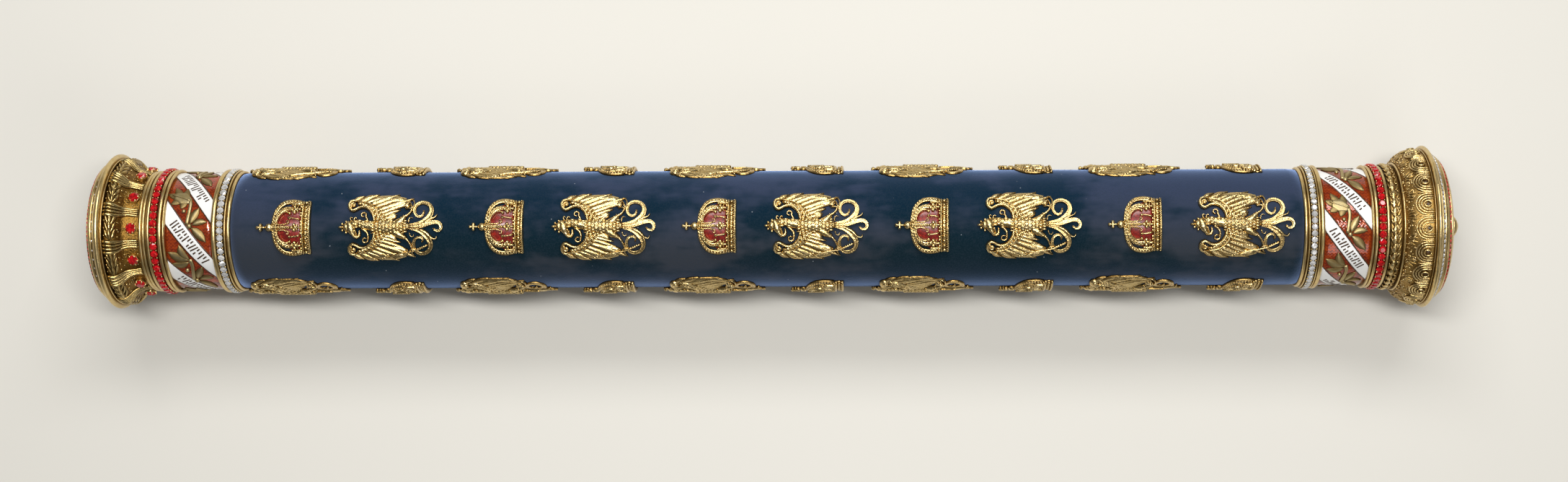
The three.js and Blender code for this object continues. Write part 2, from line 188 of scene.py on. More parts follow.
def make_piece(name, surfaces, place, finishes, slot, nodes=(), smooth=True, on_table=False):
    """A piece of the baton, from its surfaces, in place of the nodes it stands for."""
    mesh = surfaces.mesh(name, place, on_table)
    for finish in finishes:
        mesh.materials.append(finish)
    mesh.polygons.foreach_set("use_smooth", np.full(len(mesh.polygons), smooth))
    piece = bpy.data.objects.new(name, mesh)
    bpy.context.scene.collection.objects.link(piece)
    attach(piece, "root")
    if nodes:
        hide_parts(*nodes)
    return piece


def along_line(points, count):
    """A smooth line through points: cubic between each pair, evenly spaced by length."""
    points = np.asarray(points, float)
    if len(points) == 2:
        return points[0] + np.linspace(0, 1, count)[:, None] * (points[1] - points[0])
    padded = np.vstack([2 * points[0] - points[1], points, 2 * points[-1] - points[-2]])
    t = np.linspace(0, len(points) - 1, 16 * len(points))
    k = np.minimum(t.astype(int), len(points) - 2)
    f = (t - k)[:, None]
    p0, p1, p2, p3 = padded[k], padded[k + 1], padded[k + 2], padded[k + 3]
    line = p1 + 0.5 * f * (p2 - p0 + f * (2 * p0 - 5 * p1 + 4 * p2 - p3 + f * (3 * (p1 - p2) + p3 - p0)))
    length = np.concatenate([[0], np.cumsum(np.linalg.norm(np.diff(line, axis=0), axis=1))])
    even = np.linspace(0, length[-1], count)
    return np.stack([np.interp(even, length, line[:, i]) for i in range(2)], -1)


def spread(values, count):
    """A few values spread evenly along a stroke."""
    values = np.atleast_1d(np.asarray(values, float))
    return np.interp(np.linspace(0, 1, count), np.linspace(0, 1, len(values)), values)


# How high a stroke stands across its width, from edge to edge as -1 to 1
SECTIONS = {
    "round": lambda f: np.sqrt(np.maximum(1 - f * f, 0)),
    "leaf": lambda f: 0.55 * np.sqrt(np.maximum(1 - f * f, 0)) + 0.45 * np.exp(-((f / 0.2) ** 2)),
    "hollow": lambda f: np.maximum(1 - f * f, 0) ** 0.22 * (0.5 + 0.5 * f * f),
    "flat": lambda f: np.maximum(1 - f**6, 0) ** 0.5,
}
SINK = 0.35
FULL_LIFT = 1.7


def stroke(surfaces, path, width, height, base=0.0, count=10, around=7, section="round", slot=0):
    """A raised stroke: a section of changing width and height carried along a smooth line.

    Each point is the line's point, plus its side direction times half the width times f, plus the height
    times the section's value at f, where f runs from one edge to the other. Two more points close it below.
    """
    line = along_line(path, count)
    step = np.gradient(line, axis=0)
    step /= np.linalg.norm(step, axis=1)[:, None]
    side = np.stack([-step[:, 1], step[:, 0]], -1)
    half = np.maximum(spread(width, count), 0.06) / 2
    rise, foot = spread(height, count), spread(base, count)
    across = np.cos(np.linspace(0, math.pi, around))
    crest = SECTIONS[section](across)
    reach = half[:, None] * np.concatenate([[1], across, [-1]])
    flat = line[:, None] + side[:, None] * reach[..., None]
    top = foot[:, None] + rise[:, None] * crest
    low = np.full((count, 1), -SINK)
    heights = np.concatenate([low, top, low], axis=1)
    # Lift: 1 on the crest, 0 at the edges and foot; the gilding paints shade by it
    lift = 0.55 * np.concatenate([[0], crest, [0]]) + 0.45 * np.clip(heights / FULL_LIFT, 0, 1)
    surfaces.add(np.concatenate([flat, heights[..., None]], -1), lift, slot)


def beads(surfaces, middles, radius, base=0.0, sides=7):
    """Small domes: a foot and two rings round each middle, the upper one 0.6 wide and 0.9 high."""
    middles = np.asarray(middles, float).reshape(-1, 2)
    turn = np.linspace(0, 2 * math.pi, sides, endpoint=False)
    rings = np.array([[1.0, -SINK / radius], [1.0, 0.2], [0.6, 0.9]]) * radius
    grid = np.zeros((len(middles), 3, sides, 3))
    grid[..., 0] = middles[:, None, None, 0] + rings[:, 0, None] * np.cos(turn)
    grid[..., 1] = middles[:, None, None, 1] + rings[:, 0, None] * np.sin(turn)
    grid[..., 2] = base + rings[:, 1, None]
    surfaces.add(grid, np.array([0.0, 0.3, 1.0])[:, None])


def turned(surfaces, profile, sides=144, relief=None):
    """A profile of (distance, radius, lift) rows turned round the axis, with relief added to the radius."""
    profile = np.asarray(profile, float)
    angle = -np.linspace(0, 2 * math.pi, sides, endpoint=False)
    distance, angle = np.broadcast_arrays(profile[:, 0, None], angle)
    radius = np.repeat(profile[:, 1, None], sides, axis=1)
    if relief is not None:
        radius = radius + relief(distance, angle)
    surfaces.add(np.stack([distance, angle, radius], -1), profile[:, 2, None])


def roll(start, end, foot, rise, count=9, low=0.25):
    """Profile rows of a rounded moulding: a half ellipse from start to end over its foot radius."""
    t = np.linspace(0, math.pi, count)
    distance = (start + end) / 2 - (end - start) / 2 * np.cos(t)
    return list(zip(distance, foot + rise * np.sin(t), low + (1 - low) * np.sin(t)))


# Finishes


class Wire:
    """A number that changes over a surface. Arithmetic on it adds Math nodes."""

    def __init__(self, finish, socket):
        self.finish, self.socket = finish, socket

    def maths(self, operation, *values):
        return self.finish.maths(operation, *values)

    def __add__(self, other):
        return self.maths("ADD", self, other)

    def __radd__(self, other):
        return self.maths("ADD", other, self)

    def __sub__(self, other):
        return self.maths("SUBTRACT", self, other)

    def __rsub__(self, other):
        return self.maths("SUBTRACT", other, self)

    def __mul__(self, other):
        return self.maths("MULTIPLY", self, other)

    def __rmul__(self, other):
        return self.maths("MULTIPLY", other, self)

    def smooth(self, low, high):
        """0 below low, 1 above high, and a smooth step between."""
        settings = {"interpolation_type": "SMOOTHSTEP"}
        node = self.finish.node("ShaderNodeMapRange", settings, {0: self, 1: low, 2: high})
        return Wire(self.finish, node.outputs[0])


class Finish:
    """One material: its nodes, with the shader's own values set on the shader."""

    def __init__(self, name, **values):
        self.material = bpy.data.materials.new(name)
        self.material.use_nodes = True
        self.tree = self.material.node_tree
        self.shader = self.tree.nodes["Principled BSDF"]
        for key, value in values.items():
            self.shader.inputs[key.replace("_", " ")].default_value = value

    def node(self, kind, settings=None, values=None):
        """A node of a type, with its settings made first, then the values or links of its sockets."""
        made = self.tree.nodes.new(kind)
        for key, value in (settings or {}).items():
            setattr(made, key, value)
        for key, value in (values or {}).items():
            if isinstance(value, Wire):
                value = value.socket
            if isinstance(value, bpy.types.NodeSocket):
                self.tree.links.new(value, made.inputs[key])
            else:
                made.inputs[key].default_value = value
        return made

    def maths(self, operation, *values):
        node = self.node("ShaderNodeMath", {"operation": operation}, dict(enumerate(values)))
        return Wire(self, node.outputs[0])

    def vector_maths(self, operation, *values):
        return self.node("ShaderNodeVectorMath", {"operation": operation}, dict(enumerate(values))).outputs[0]

    def lift(self):
        """How far each point stands out of the recesses, from 0 to 1, by which the gilding paints shade."""
        node = self.node("ShaderNodeAttribute", {"attribute_name": "lift"})
        return Wire(self, node.outputs["Fac"])

    def place(self, middle=(0, 0, 0), scale=(1, 1, 1)):
        """Object coordinates in millimetres from a middle."""
        coordinates = self.node("ShaderNodeTexCoord").outputs["Object"]
        shifted = self.vector_maths("SUBTRACT", coordinates, middle)
        return self.vector_maths("MULTIPLY", shifted, tuple(s / MM for s in scale))

    def noise(self, size, detail=3.0, roughness=0.55, place=None):
        """Noise whose patches are about size millimetres across."""
        place = place or self.place()
        values = {"Vector": place, "Scale": 1 / size, "Detail": detail, "Roughness": roughness}
        return Wire(self, self.node("ShaderNodeTexNoise", None, values).outputs["Fac"])

    def cells(self, size):
        """Distance to the nearest of scattered points, size millimetres apart."""
        values = {"Vector": self.place(), "Scale": 1 / size}
        return Wire(self, self.node("ShaderNodeTexVoronoi", None, values).outputs["Distance"])

    def mix(self, factor, first, second):
        """One colour going over to another."""
        colours = [(*c, 1.0) if isinstance(c, tuple) else c for c in (first, second)]
        values = {0: factor, 6: colours[0], 7: colours[1]}
        return self.node("ShaderNodeMix", {"data_type": "RGBA"}, values).outputs[2]

    def feed(self, name, value):
        socket = value.socket if isinstance(value, Wire) else value
        self.tree.links.new(socket, self.shader.inputs[name])

    def bump(self, height, depth):
        """Relief of the given depth in millimetres."""
        values = {"Height": height, "Distance": depth * MM, "Strength": 1.0}
        self.feed("Normal", self.node("ShaderNodeBump", None, values).outputs[0])


def gilt_finish(name, colours, grain, depth, rough):
    """Gilding: burnished where it stands out, with painted shade that turns it amber lower down and brown in
    the recesses, a little uneven.
    """
    bright, amber, deep = colours
    finish = Finish(name, Metallic=1.0)
    patches = finish.noise(2.2, 4.0)
    height = finish.lift() + 0.22 * (patches - 0.5)
    dimmer = tuple(c * share for c, share in zip(bright, (0.90, 0.84, 0.70)))
    warm = finish.mix(patches.smooth(0.35, 0.7), bright, dimmer)
    # Painted shade: the colour goes amber lower down and dark brown in the recesses, by the lift
    low = finish.mix(height.smooth(0.0, 0.3), deep, amber)
    finish.feed("Base Color", finish.mix(height.smooth(0.25, 0.7), low, warm))
    dull = 0.2 * finish.noise(0.9, 2.0) + 0.16 * (1 - height.smooth(0.0, 0.6))
    finish.feed("Roughness", rough + dull)
    finish.bump(finish.noise(grain, 3.0), depth)
    return finish.material


def velvet_finish():
    """Silk velvet: deep blue pile, rubbed greyer in patches, with stray pale specks, and painted sheen that
    makes it bluer and brighter towards the side the key light grazes.
    """
    finish = Finish("velvet", Roughness=0.9, Sheen_Weight=1.0, Sheen_Roughness=0.42)
    finish.shader.inputs["Sheen Tint"].default_value = (0.30, 0.44, 0.80, 1)
    finish.shader.inputs["Specular IOR Level"].default_value = 0.08
    worn = finish.noise(34, 4.0, 0.62)
    bands = finish.noise(9, 3.0, 0.6, finish.place(scale=(0.35, 1, 1)))
    pile = finish.noise(0.5, 3.0)
    parts = finish.node("ShaderNodeSeparateXYZ", None, {0: finish.place()})
    along, across = Wire(finish, parts.outputs[0]), Wire(finish, parts.outputs[1])
    middle = finish.maths("COSINE", (along + 12.6) * (2 * math.pi / 174))
    rubbed = (0.6 * worn + 0.4 * bands + 0.05 * middle).smooth(0.42, 0.59)
    # Painted sheen: the rubbed and the plain colours both go bluer and brighter towards +y, the side under
    # the key light
    nap = finish.mix(across.smooth(-14, 18), (0.032, 0.036, 0.042), (0.030, 0.043, 0.085))
    ground = finish.mix(across.smooth(-14, 18), (0.0010, 0.011, 0.015), (0.0008, 0.015, 0.034))
    colour = finish.mix(rubbed, ground, nap)
    colour = finish.mix(pile.smooth(0.35, 0.75) * 0.35, colour, (0.020, 0.032, 0.046))
    specks = 1 - finish.cells(6.0).smooth(0.022, 0.04)
    colour = finish.mix(specks * 0.6, colour, (0.35, 0.38, 0.42))
    finish.feed("Base Color", colour)
    finish.bump(pile, 0.06)
    return finish.material


def ring_angle(finish, node):
    """The angle round a band's middle, and the distance along it, in radians and millimetres."""
    middle = tuple(node_middle(node) * MM)
    parts = finish.node("ShaderNodeSeparateXYZ", None, {0: finish.place(middle)})
    x, y, z = [Wire(finish, parts.outputs[i]) for i in range(3)]
    return finish.maths("ARCTAN2", y, z), x


ZIGZAGS = 110


def enamel_finish(node):
    """Translucent red enamel over a ground engraved with zigzags, orange where the ground shines through."""
    finish = Finish("enamel_" + node, Roughness=0.12, Coat_Weight=0.5, Coat_Roughness=0.05)
    angle, along = ring_angle(finish, node)
    wave = finish.maths("PINGPONG", along + 40.0, 0.62)
    lines = finish.maths("SINE", angle * float(ZIGZAGS) + 6.0 * wave)
    cloud = finish.noise(2.4, 4.0, 0.65)
    shine = (0.16 * lines + 0.46 + 1.9 * (cloud - 0.5)).smooth(0.1, 1.05)
    finish.feed("Base Color", finish.mix(shine, (0.12, 0.011, 0.003), (0.52, 0.075, 0.010)))
    finish.feed("Metallic", 0.45 * shine)
    finish.bump(lines + 2.0 * cloud, 0.008)
    return finish.material


def ribbon_finish():
    """White enamel, very slightly uneven."""
    finish = Finish("ribbon_enamel", Roughness=0.12, Coat_Weight=0.5)
    cloud = finish.noise(4.0)
    finish.feed("Base Color", finish.mix(cloud, (0.80, 0.80, 0.80), (0.90, 0.90, 0.88)))
    return finish.material


def dark_finish():
    """Dark enamel lines and strokes, and the painted shade in the ovolo's eyes."""
    finish = Finish("dark_enamel_and_eye_shade", Roughness=0.35)
    cloud = finish.noise(0.8)
    finish.feed("Base Color", finish.mix(cloud, (0.03, 0.014, 0.005), (0.08, 0.038, 0.013)))
    return finish.material


def lining_finish():
    """The crowns' red enamel lining."""
    finish = Finish("lining_enamel", Roughness=0.28, Coat_Weight=0.3, Coat_Roughness=0.15)
    cloud = finish.noise(0.9, 3.0)
    patches = cloud.smooth(0.35, 0.7)
    finish.feed("Base Color", finish.mix(patches, (0.12, 0.005, 0.003), (0.30, 0.014, 0.007)))
    return finish.material


def ruby_finish():
    """Rubies: deep red with painted fire, a brighter red in places standing in for inner reflections."""
    finish = Finish("ruby", Roughness=0.03, IOR=1.76, Transmission_Weight=0.35)
    cloud = finish.noise(0.8)
    # Painted fire: brighter red patches stand in for reflections inside the stone
    painted_fire = cloud.smooth(0.35, 0.65)
    finish.feed("Base Color", finish.mix(painted_fire, (0.36, 0.001, 0.003), (0.95, 0.006, 0.016)))
    return finish.material


def diamond_finish():
    """Diamonds: clear, with painted fire, bright and grey patches standing in for reflections."""
    finish = Finish("diamond", Roughness=0.02, IOR=2.42, Transmission_Weight=0.4)
    # Painted reflections: grey and white patches in the base colour
    cloud = finish.noise(1.8)
    finish.feed("Base Color", finish.mix(cloud.smooth(0.35, 0.6), (0.62, 0.62, 0.60), (1.0, 1.0, 1.0)))
    return finish.material


# Each gilding's colours where it stands out, and its painted shade lower down and in the recesses
NEW_GOLD = (0.70, 0.54, 0.265), (0.36, 0.22, 0.065), (0.045, 0.028, 0.011)
OLD_GOLD = (0.54, 0.41, 0.18), (0.25, 0.155, 0.045), (0.03, 0.02, 0.008)
AMBER_GOLD = (0.50, 0.31, 0.09), (0.27, 0.145, 0.03), (0.035, 0.02, 0.008)
DULL_GOLD = (0.50, 0.41, 0.22), (0.26, 0.18, 0.07), (0.05, 0.03, 0.012)
GILT = gilt_finish("gilt", NEW_GOLD, 0.35, 0.05, 0.22)
GILT_CAST = gilt_finish("gilt_cast", NEW_GOLD, 0.75, 0.16, 0.17)
GILT_OLD = gilt_finish("gilt_old", OLD_GOLD, 0.75, 0.1, 0.15)
GILT_AMBER = gilt_finish("gilt_amber", AMBER_GOLD, 0.7, 0.3, 0.15)
GILT_DULL = gilt_finish("gilt_sprays", DULL_GOLD, 0.5, 0.05, 0.36)
VELVET = velvet_finish()
RIBBON = ribbon_finish()
DARK = dark_finish()
LINING = lining_finish()
RUBY = ruby_finish()
DIAMOND = diamond_finish()

# Velvet


def velvet_tube():
    """The tube: a long roll with slightly drawn-in ends and an uneven nap."""
    surfaces = Surfaces()
    steps = np.linspace(0, 1, 110)
    draw_in = 0.25 * (np.exp(-steps * TUBE_LENGTH / 0.5) + np.exp(-(1 - steps) * TUBE_LENGTH / 0.5))
    profile = np.stack([steps * TUBE_LENGTH, TUBE_RADIUS - draw_in, np.ones_like(steps)], -1)

    def nap(distance, angle):
        slow = np.sin(distance / 31 + 2 * angle) * np.cos(3 * angle + distance / 53)
        return 0.05 * slow + 0.03 * np.sin(distance / 7.3 + 5 * angle)

    turned(surfaces, profile, 128, relief=nap)
    make_piece("velvet", surfaces, TUBE.place, [VELVET], "velvet", ["velvet_tube"])


velvet_tube()

# Eagles

ROW_TURN = 3.0 * RAD
ORNAMENT_RADIUS = TUBE_RADIUS + 0.8
EAGLE_UNIT = 0.348


def mirrored(path):
    """The path on the other side of the ornament's middle line."""
    return [(u, -v) for u, v in path]


def hook(middle, radius, start, sweep):
    """Seven points on an arc that draws in to 0.6 of its radius."""
    t = np.linspace(0, 1, 7)
    angle = (start + sweep * t) * RAD
    reach = radius * (1 - 0.4 * t)
    return [(middle[0] + r * math.cos(a), middle[1] + r * math.sin(a)) for r, a in zip(reach, angle)]


def eagle_surfaces():
    """An eagle displayed, in units of a hundredth of its length, head towards minus u, looking to minus v."""
    s = Surfaces()

    def line(path, width, height, base=0.0, count=10, around=7, section="round"):
        scaled = [(u * EAGLE_UNIT, v * EAGLE_UNIT) for u, v in path]
        widths = np.atleast_1d(width) * EAGLE_UNIT
        stroke(s, scaled, widths, height, base, count, around, section)

    def dots(middles, radius, base=0.0):
        beads(s, np.array(middles) * EAGLE_UNIT, radius * EAGLE_UNIT, base)

    # Crown and head
    line([(-50.2, 0), (-47.5, 0.1), (-46, 0.2)], [1.8, 3.2, 1.6], [0.8, 1.2, 0.7], 0.2, 7)
    cap = [(-46.3, 0.2), (-44.5, 0.2), (-42.6, 0.2), (-40.6, 0.3)]
    line(cap, [3.0, 8.0, 9.0, 7.0], [0.6, 1.2, 1.3, 1.0], 0.3, 9)
    dots([(-46.6, 3.4), (-46.9, 0.2), (-46.6, -3.0), (-42.9, -5.2), (-42.9, 5.4)], 1.4, 0.5)
    skull = [(-41.0, 5.5), (-39.0, 1.0), (-37.2, -4.0), (-34.5, -8.0)]
    line(skull, [4.5, 9.0, 8.0, 4.0], [1.0, 1.6, 1.6, 1.0], 0.3)
    line([(-37.5, 6.0), (-38.8, 8.4), (-37.6, 9.8), (-36.4, 8.6)], [2.6, 1.8, 1.5, 0.8], 0.9, 0.2, 7)
    line([(-35.0, 6.0), (-34.8, 8.6), (-33.2, 9.6), (-32.4, 8.2)], [2.6, 1.8, 1.5, 0.8], 0.9, 0.2, 7)
    beak = [(-37.0, -4.5), (-34.8, -8.6), (-31.6, -9.6), (-29.6, -6.6), (-30.2, -2.6)]
    line(beak, [4.2, 4.0, 3.4, 3.0, 1.8], [1.4, 1.4, 1.2, 1.1, 0.8], 0.3, 11)
    line([(-34.2, -2.6), (-33.0, -6.0), (-32.6, -8.8)], [2.2, 1.9, 1.0], [1.3, 1.1, 0.7], 0.5, 7)
    dots([(-37.3, -0.6), (-35.4, 3.4)], 1.4, 1.3)
    # Neck with its two curls
    neck = [(-37.0, 2.6), (-32.0, 3.6), (-25.0, 2.4), (-16.0, 1.2)]
    line(neck, [8.0, 8.4, 9.6, 11.5], [1.4, 1.5, 1.7, 1.8], 0.1, 12, 9)
    scales(line, -33.5, -19.5, 5, 3.0, 2.5, 3, 1.45)
    curl = [(-21.5, 4.5), (-22.6, 8.2)] + hook((-26.2, 12.2), 2.9, -35, 330)
    line(curl, [3.0, 2.6, 2.2, 2.0, 1.8, 1.5], 0.9, 0.0, 16, 6)
    curl = [(-27.5, -1.0), (-22.6, -5.4), (-21.6, -9.6)] + hook((-24.8, -12.4), 3.1, 20, -330)
    line(curl, [3.2, 3.0, 2.6, 2.3, 1.9, 1.5], 0.95, 0.0, 18, 6)
    # Body
    body = [(-18, 1.0), (-6, 0.2), (7, 0.2), (19, 0.8)]
    line(body, [11.0, 13.5, 12.0, 6.0], [1.7, 2.0, 1.9, 1.2], 0.0, 14, 9)
    scales(line, -17.0, 14.0, 10, 0.2, 2.6, 5, 1.8)
    wing(line, dots, 1)
    wing(line, dots, -1)
    legs(line, dots)
    tail(line)
    return s


def scales(line, start, end, columns, middle, pitch, rows, base):
    """Rows of small feathers that overlap towards the tail, every second column half a step aside."""
    for column, u in enumerate(np.linspace(start, end, columns)):
        for row in range(rows):
            v = middle + pitch * (row - (rows - 1) / 2 + 0.5 * (column % 2) - 0.25)
            low = base - 0.035 * (v - middle) ** 2
            feather = [(u - 1.6, v), (u + 0.8, v), (u + 2.6, v + 0.1)]
            line(feather, [1.6, 2.6, 1.0], [0.3, 0.5, 0.2], low, 4, 5)


def wing(line, dots, way):
    """A wing: a webbed ground, long feathers, coverts, and a double leading edge with a curled knob."""

    def at(path):
        return path if way > 0 else mirrored(path)

    ground = [
        ([(-33, 23.5), (-24, 26.5), (-12, 28), (2, 28.5), (14, 27)], [4, 6.5, 8.5, 8.0, 5.0]),
        ([(-16, 14), (-6, 19.5), (6, 22.5), (16, 24.5)], [8, 12, 9.5, 6]),
        ([(-15, 6.5), (-4, 9.5), (5, 12.5)], [9, 12, 7]),
    ]
    for path, width in ground:
        line(at(path), width, 0.6, 0.1, 9, 5, "flat")
    feathers = [
        ([(-36.5, 25.5), (-33, 28.4), (-26.0, 31.4)], [3.4, 4.6, 0.7]),
        ([(-30.5, 25.2), (-22, 29.5), (-12.4, 32.8)], [4.0, 6.0, 0.8]),
        ([(-25, 24.0), (-15, 27.5), (-5.5, 29.8)], [3.5, 4.6, 1.4]),
        ([(-21, 22.5), (-7, 28), (7.4, 32.6)], [4.2, 6.6, 1.0]),
        ([(-17, 19.5), (-2, 25.5), (12.5, 29.2)], [4.0, 5.4, 1.8]),
        ([(-15, 16), (3, 22.5), (21.5, 28.6)], [4.4, 6.6, 1.6]),
        ([(-13, 12.5), (2, 18.6), (15.5, 22.6)], [4.2, 5.8, 1.0]),
        ([(-12, 9.0), (0, 14.2), (9.5, 17.2)], [4.4, 5.6, 1.2]),
        ([(-10, 6.5), (0, 10.0), (6.5, 12.4)], [4.0, 5.0, 1.2]),
    ]
    if way < 0:
        feathers[5] = ([(-15, 16), (4, 22.5), (23.2, 29.2)], [4.4, 6.4, 1.6])
        feathers[6] = ([(-13, 12.5), (3, 17.6), (15.0, 21.6)], [4.2, 5.0, 1.2])
        feathers[7] = ([(-12, 9.0), (0, 13.0), (10.0, 15.0)], [4.4, 5.0, 1.2])
    for path, width in feathers:
        line(at(path), width, [0.5, 0.7, 0.5], [0.6, 0.45, 0.15], 8, 7, "leaf")
    for row in range(5):
        for k in range(8):
            t = k / 7
            u = -31 + 3.3 * row + 17.5 * t
            v = 22.8 - 1.3 * row - 15.5 * t**1.8
            covert = at([(u - 0.4, v - 0.6), (u + 1.6, v + 0.3), (u + 3.0, v + 0.9)])
            line(covert, [1.8, 2.9, 0.9], [0.35, 0.55, 0.2], 1.05 - 0.08 * row, 4, 5)
    outer = [(-11.4, 6.0), (-12.4, 13.0), (-16.6, 19.6), (-22.5, 23.6), (-28.5, 24.9), (-33.5, 25.6)]
    inner = [(-15.0, 4.5), (-16.0, 11.0), (-19.6, 16.4), (-24.8, 19.4), (-30.0, 19.3), (-33.6, 17.4)]
    line(at(outer), [2.6, 2.6, 2.4, 2.2, 2.0, 2.6], [1.1, 1.2, 1.2, 1.1, 1.0, 0.9], 0.3, 12)
    inner += [(-36.6, 16.2), (-39.8, 18.4), (-40.6, 22.6), (-38.0, 26.2), (-34.0, 25.4)]
    width = [3.2, 3.4, 3.2, 3.0, 2.8, 2.8, 3.2, 3.6, 3.6, 3.2, 1.8]
    line(at(inner), width, [1.4, 1.5, 1.5, 1.4, 1.3, 1.2, 1.1], 0.3, 18)
    line(at([(-14.4, 8.5), (-16.4, 14.6), (-21.0, 19.6), (-27.0, 22.2), (-32.0, 22.6)]), 2.2, 0.8, 0.2, 10)
    line(at(hook((-36.2, 21.2), 2.8, 240, -260)), [2.6, 2.2, 1.4], 1.1, 0.5, 9, 6)
    dots(at([(-36.0, 21.4)]), 2.0, 0.8)


def legs(line, dots):
    """Thighs with a ruff, shanks, and feet: one holds an orb, the other a sceptre."""
    line([(3, 1.5), (9.5, 5.5), (14.5, 10.5)], [8.5, 8.0, 4.0], [1.4, 1.7, 1.2], 0.1, 10, 9)
    line([(3, -4.0), (9.0, -7.5), (15.0, -10.8)], [8.0, 7.4, 4.0], [1.3, 1.6, 1.1], 0.1, 10, 9)
    for k in range(4):
        line([(5.5 + 2.4 * k, 5.4 + 1.9 * k), (8.2 + 2.3 * k, 5.0 + 1.5 * k)], [1.5, 0.7], 0.4, 1.1, 5, 5)
        line([(5.0 + 2.5 * k, -7.6 - 1.0 * k), (7.8 + 2.4 * k, -7.4 - 0.8 * k)], [1.5, 0.7], 0.4, 1.0, 5, 5)
    line([(13.5, 10.0), (18.5, 13.5), (21.0, 18.5)], [3.0, 2.2, 2.6], 1.0, 0.2, 8)
    line([(14.5, -10.6), (18.0, -14.5), (21.6, -22.6)], [3.0, 2.0, 2.4], 1.0, 0.2, 9)
    dots([(15.4, 21.4)], 3.3, 0.2)
    line([(12.6, 19.6), (15.4, 21.6), (18.0, 24.0)], [1.0, 1.2, 1.0], 0.3, 1.1, 6, 5)
    claws = [
        [(20.5, 17.5), (22.8, 21.5), (21.6, 26.2), (18.4, 28.2)],
        [(20.8, 18.0), (19.6, 22.4), (17.6, 25.2)],
        [(20.4, 17.6), (17.4, 18.4), (14.2, 17.8)],
        [(21.4, -21.0), (24.6, -22.6), (25.0, -25.0)],
        [(21.4, -21.5), (20.4, -25.2), (22.0, -27.0)],
        [(21.2, -21.0), (18.6, -22.6), (17.8, -25.0)],
    ]
    for path in claws:
        line(path, [2.0, 1.7, 0.8], [1.1, 1.0, 0.6], 0.3, 8, 6)
    line([(-3.5, -29.3), (8, -25.4), (22.5, -23.0), (36, -17.4)], [1.4, 1.3, 1.3, 1.1], 1.0, 0.35, 14, 6)
    for k, size in enumerate([1.5, 1.9, 1.6]):
        dots([(-9.2 + 2.6 * k, -30.6 + 0.7 * k), (-8.6 + 2.6 * k, -28.6 + 0.7 * k)], size, 0.4)
    for k in range(5):
        dots([(26.5 + 2.0 * k, -21.4 + 0.85 * k)], 1.25, 0.8)
    line([(17.6, 4.6), (18.2, 8.6), (20.2, 9.6), (21.8, 8.6)], [1.8, 1.4, 1.2, 0.5], 0.7, 0.0, 8, 6)
    line([(18.2, -5.4), (19.6, -9.0), (22.0, -9.2), (22.8, -7.0)], [1.8, 1.4, 1.2, 0.5], 0.7, 0.0, 8, 6)


def tail(line):
    """The tail: two hollow scrolls that curl back to the feet, a plume between them and two spurs."""
    scroll = [(17, 1.8), (29, 3.8), (36.4, 8.8), (39.8, 15.8), (37.4, 21.8), (31.2, 24.4), (25.4, 22.6)]
    scroll += [(23.0, 17.6), (24.2, 12.4), (28.2, 10.0), (31.6, 12.2), (32.2, 16.4)]
    width = [2.6, 3.8, 5.4, 6.2, 5.2, 4.0, 3.4, 3.2, 3.0, 2.8, 2.4, 1.4]
    line(scroll, width, [0.9, 1.0, 1.2, 1.2, 1.1, 1.0], 0.1, 26, 8, "hollow")
    scroll = [(17, -0.6), (28, -3.6), (35.0, -9.2), (38.8, -16.0), (37.0, -22.6), (31.0, -25.8)]
    scroll += [(25.2, -24.4), (22.4, -19.0), (23.2, -12.6), (27.6, -9.6), (31.4, -11.4), (30.8, -14.8)]
    width = [2.6, 3.8, 5.2, 6.0, 5.0, 4.0, 3.2, 3.0, 3.0, 2.8, 2.4, 1.4]
    line(scroll, width, [0.9, 1.0, 1.2, 1.2, 1.1, 1.0], 0.1, 26, 8, "hollow")
    plume = [(17, 0.6), (29, 1.4), (39.0, 4.2), (46.0, 4.6), (49.4, 1.0), (48.2, -3.2)]
    plume += [(44.2, -3.6), (42.0, -1.0)]
    width = [2.4, 3.2, 5.6, 5.0, 4.2, 3.6, 2.6, 1.4]
    line(plume, width, [1.1, 1.2, 1.3, 1.2, 1.1, 1.0], 0.3, 22, 8, "hollow")
    spur = [(33, 4.6), (39, 8.0), (43.6, 9.8), (45.2, 12.4)]
    line(spur, [3.6, 3.2, 2.0, 1.2], [1.0, 1.0, 0.8], 0.2, 11, 7)
    spur = [(28, -2.4), (34.6, -5.6), (39.6, -10.4), (44.0, -11.6), (45.0, -8.8)]
    line(spur, [2.8, 4.2, 3.4, 2.2, 1.0], [1.1, 1.2, 0.9], 0.2, 13, 7)
    for k in range(3):
        quill = [(17.5, -1.4 + 1.6 * k), (27, -2.2 + 2.2 * k), (33, -2.4 + 3.4 * k)]
        line(quill, [0.7, 0.8, 0.4], 0.3, 1.2, 8, 5)


# Crowns

CROWN_UNIT = 0.2328


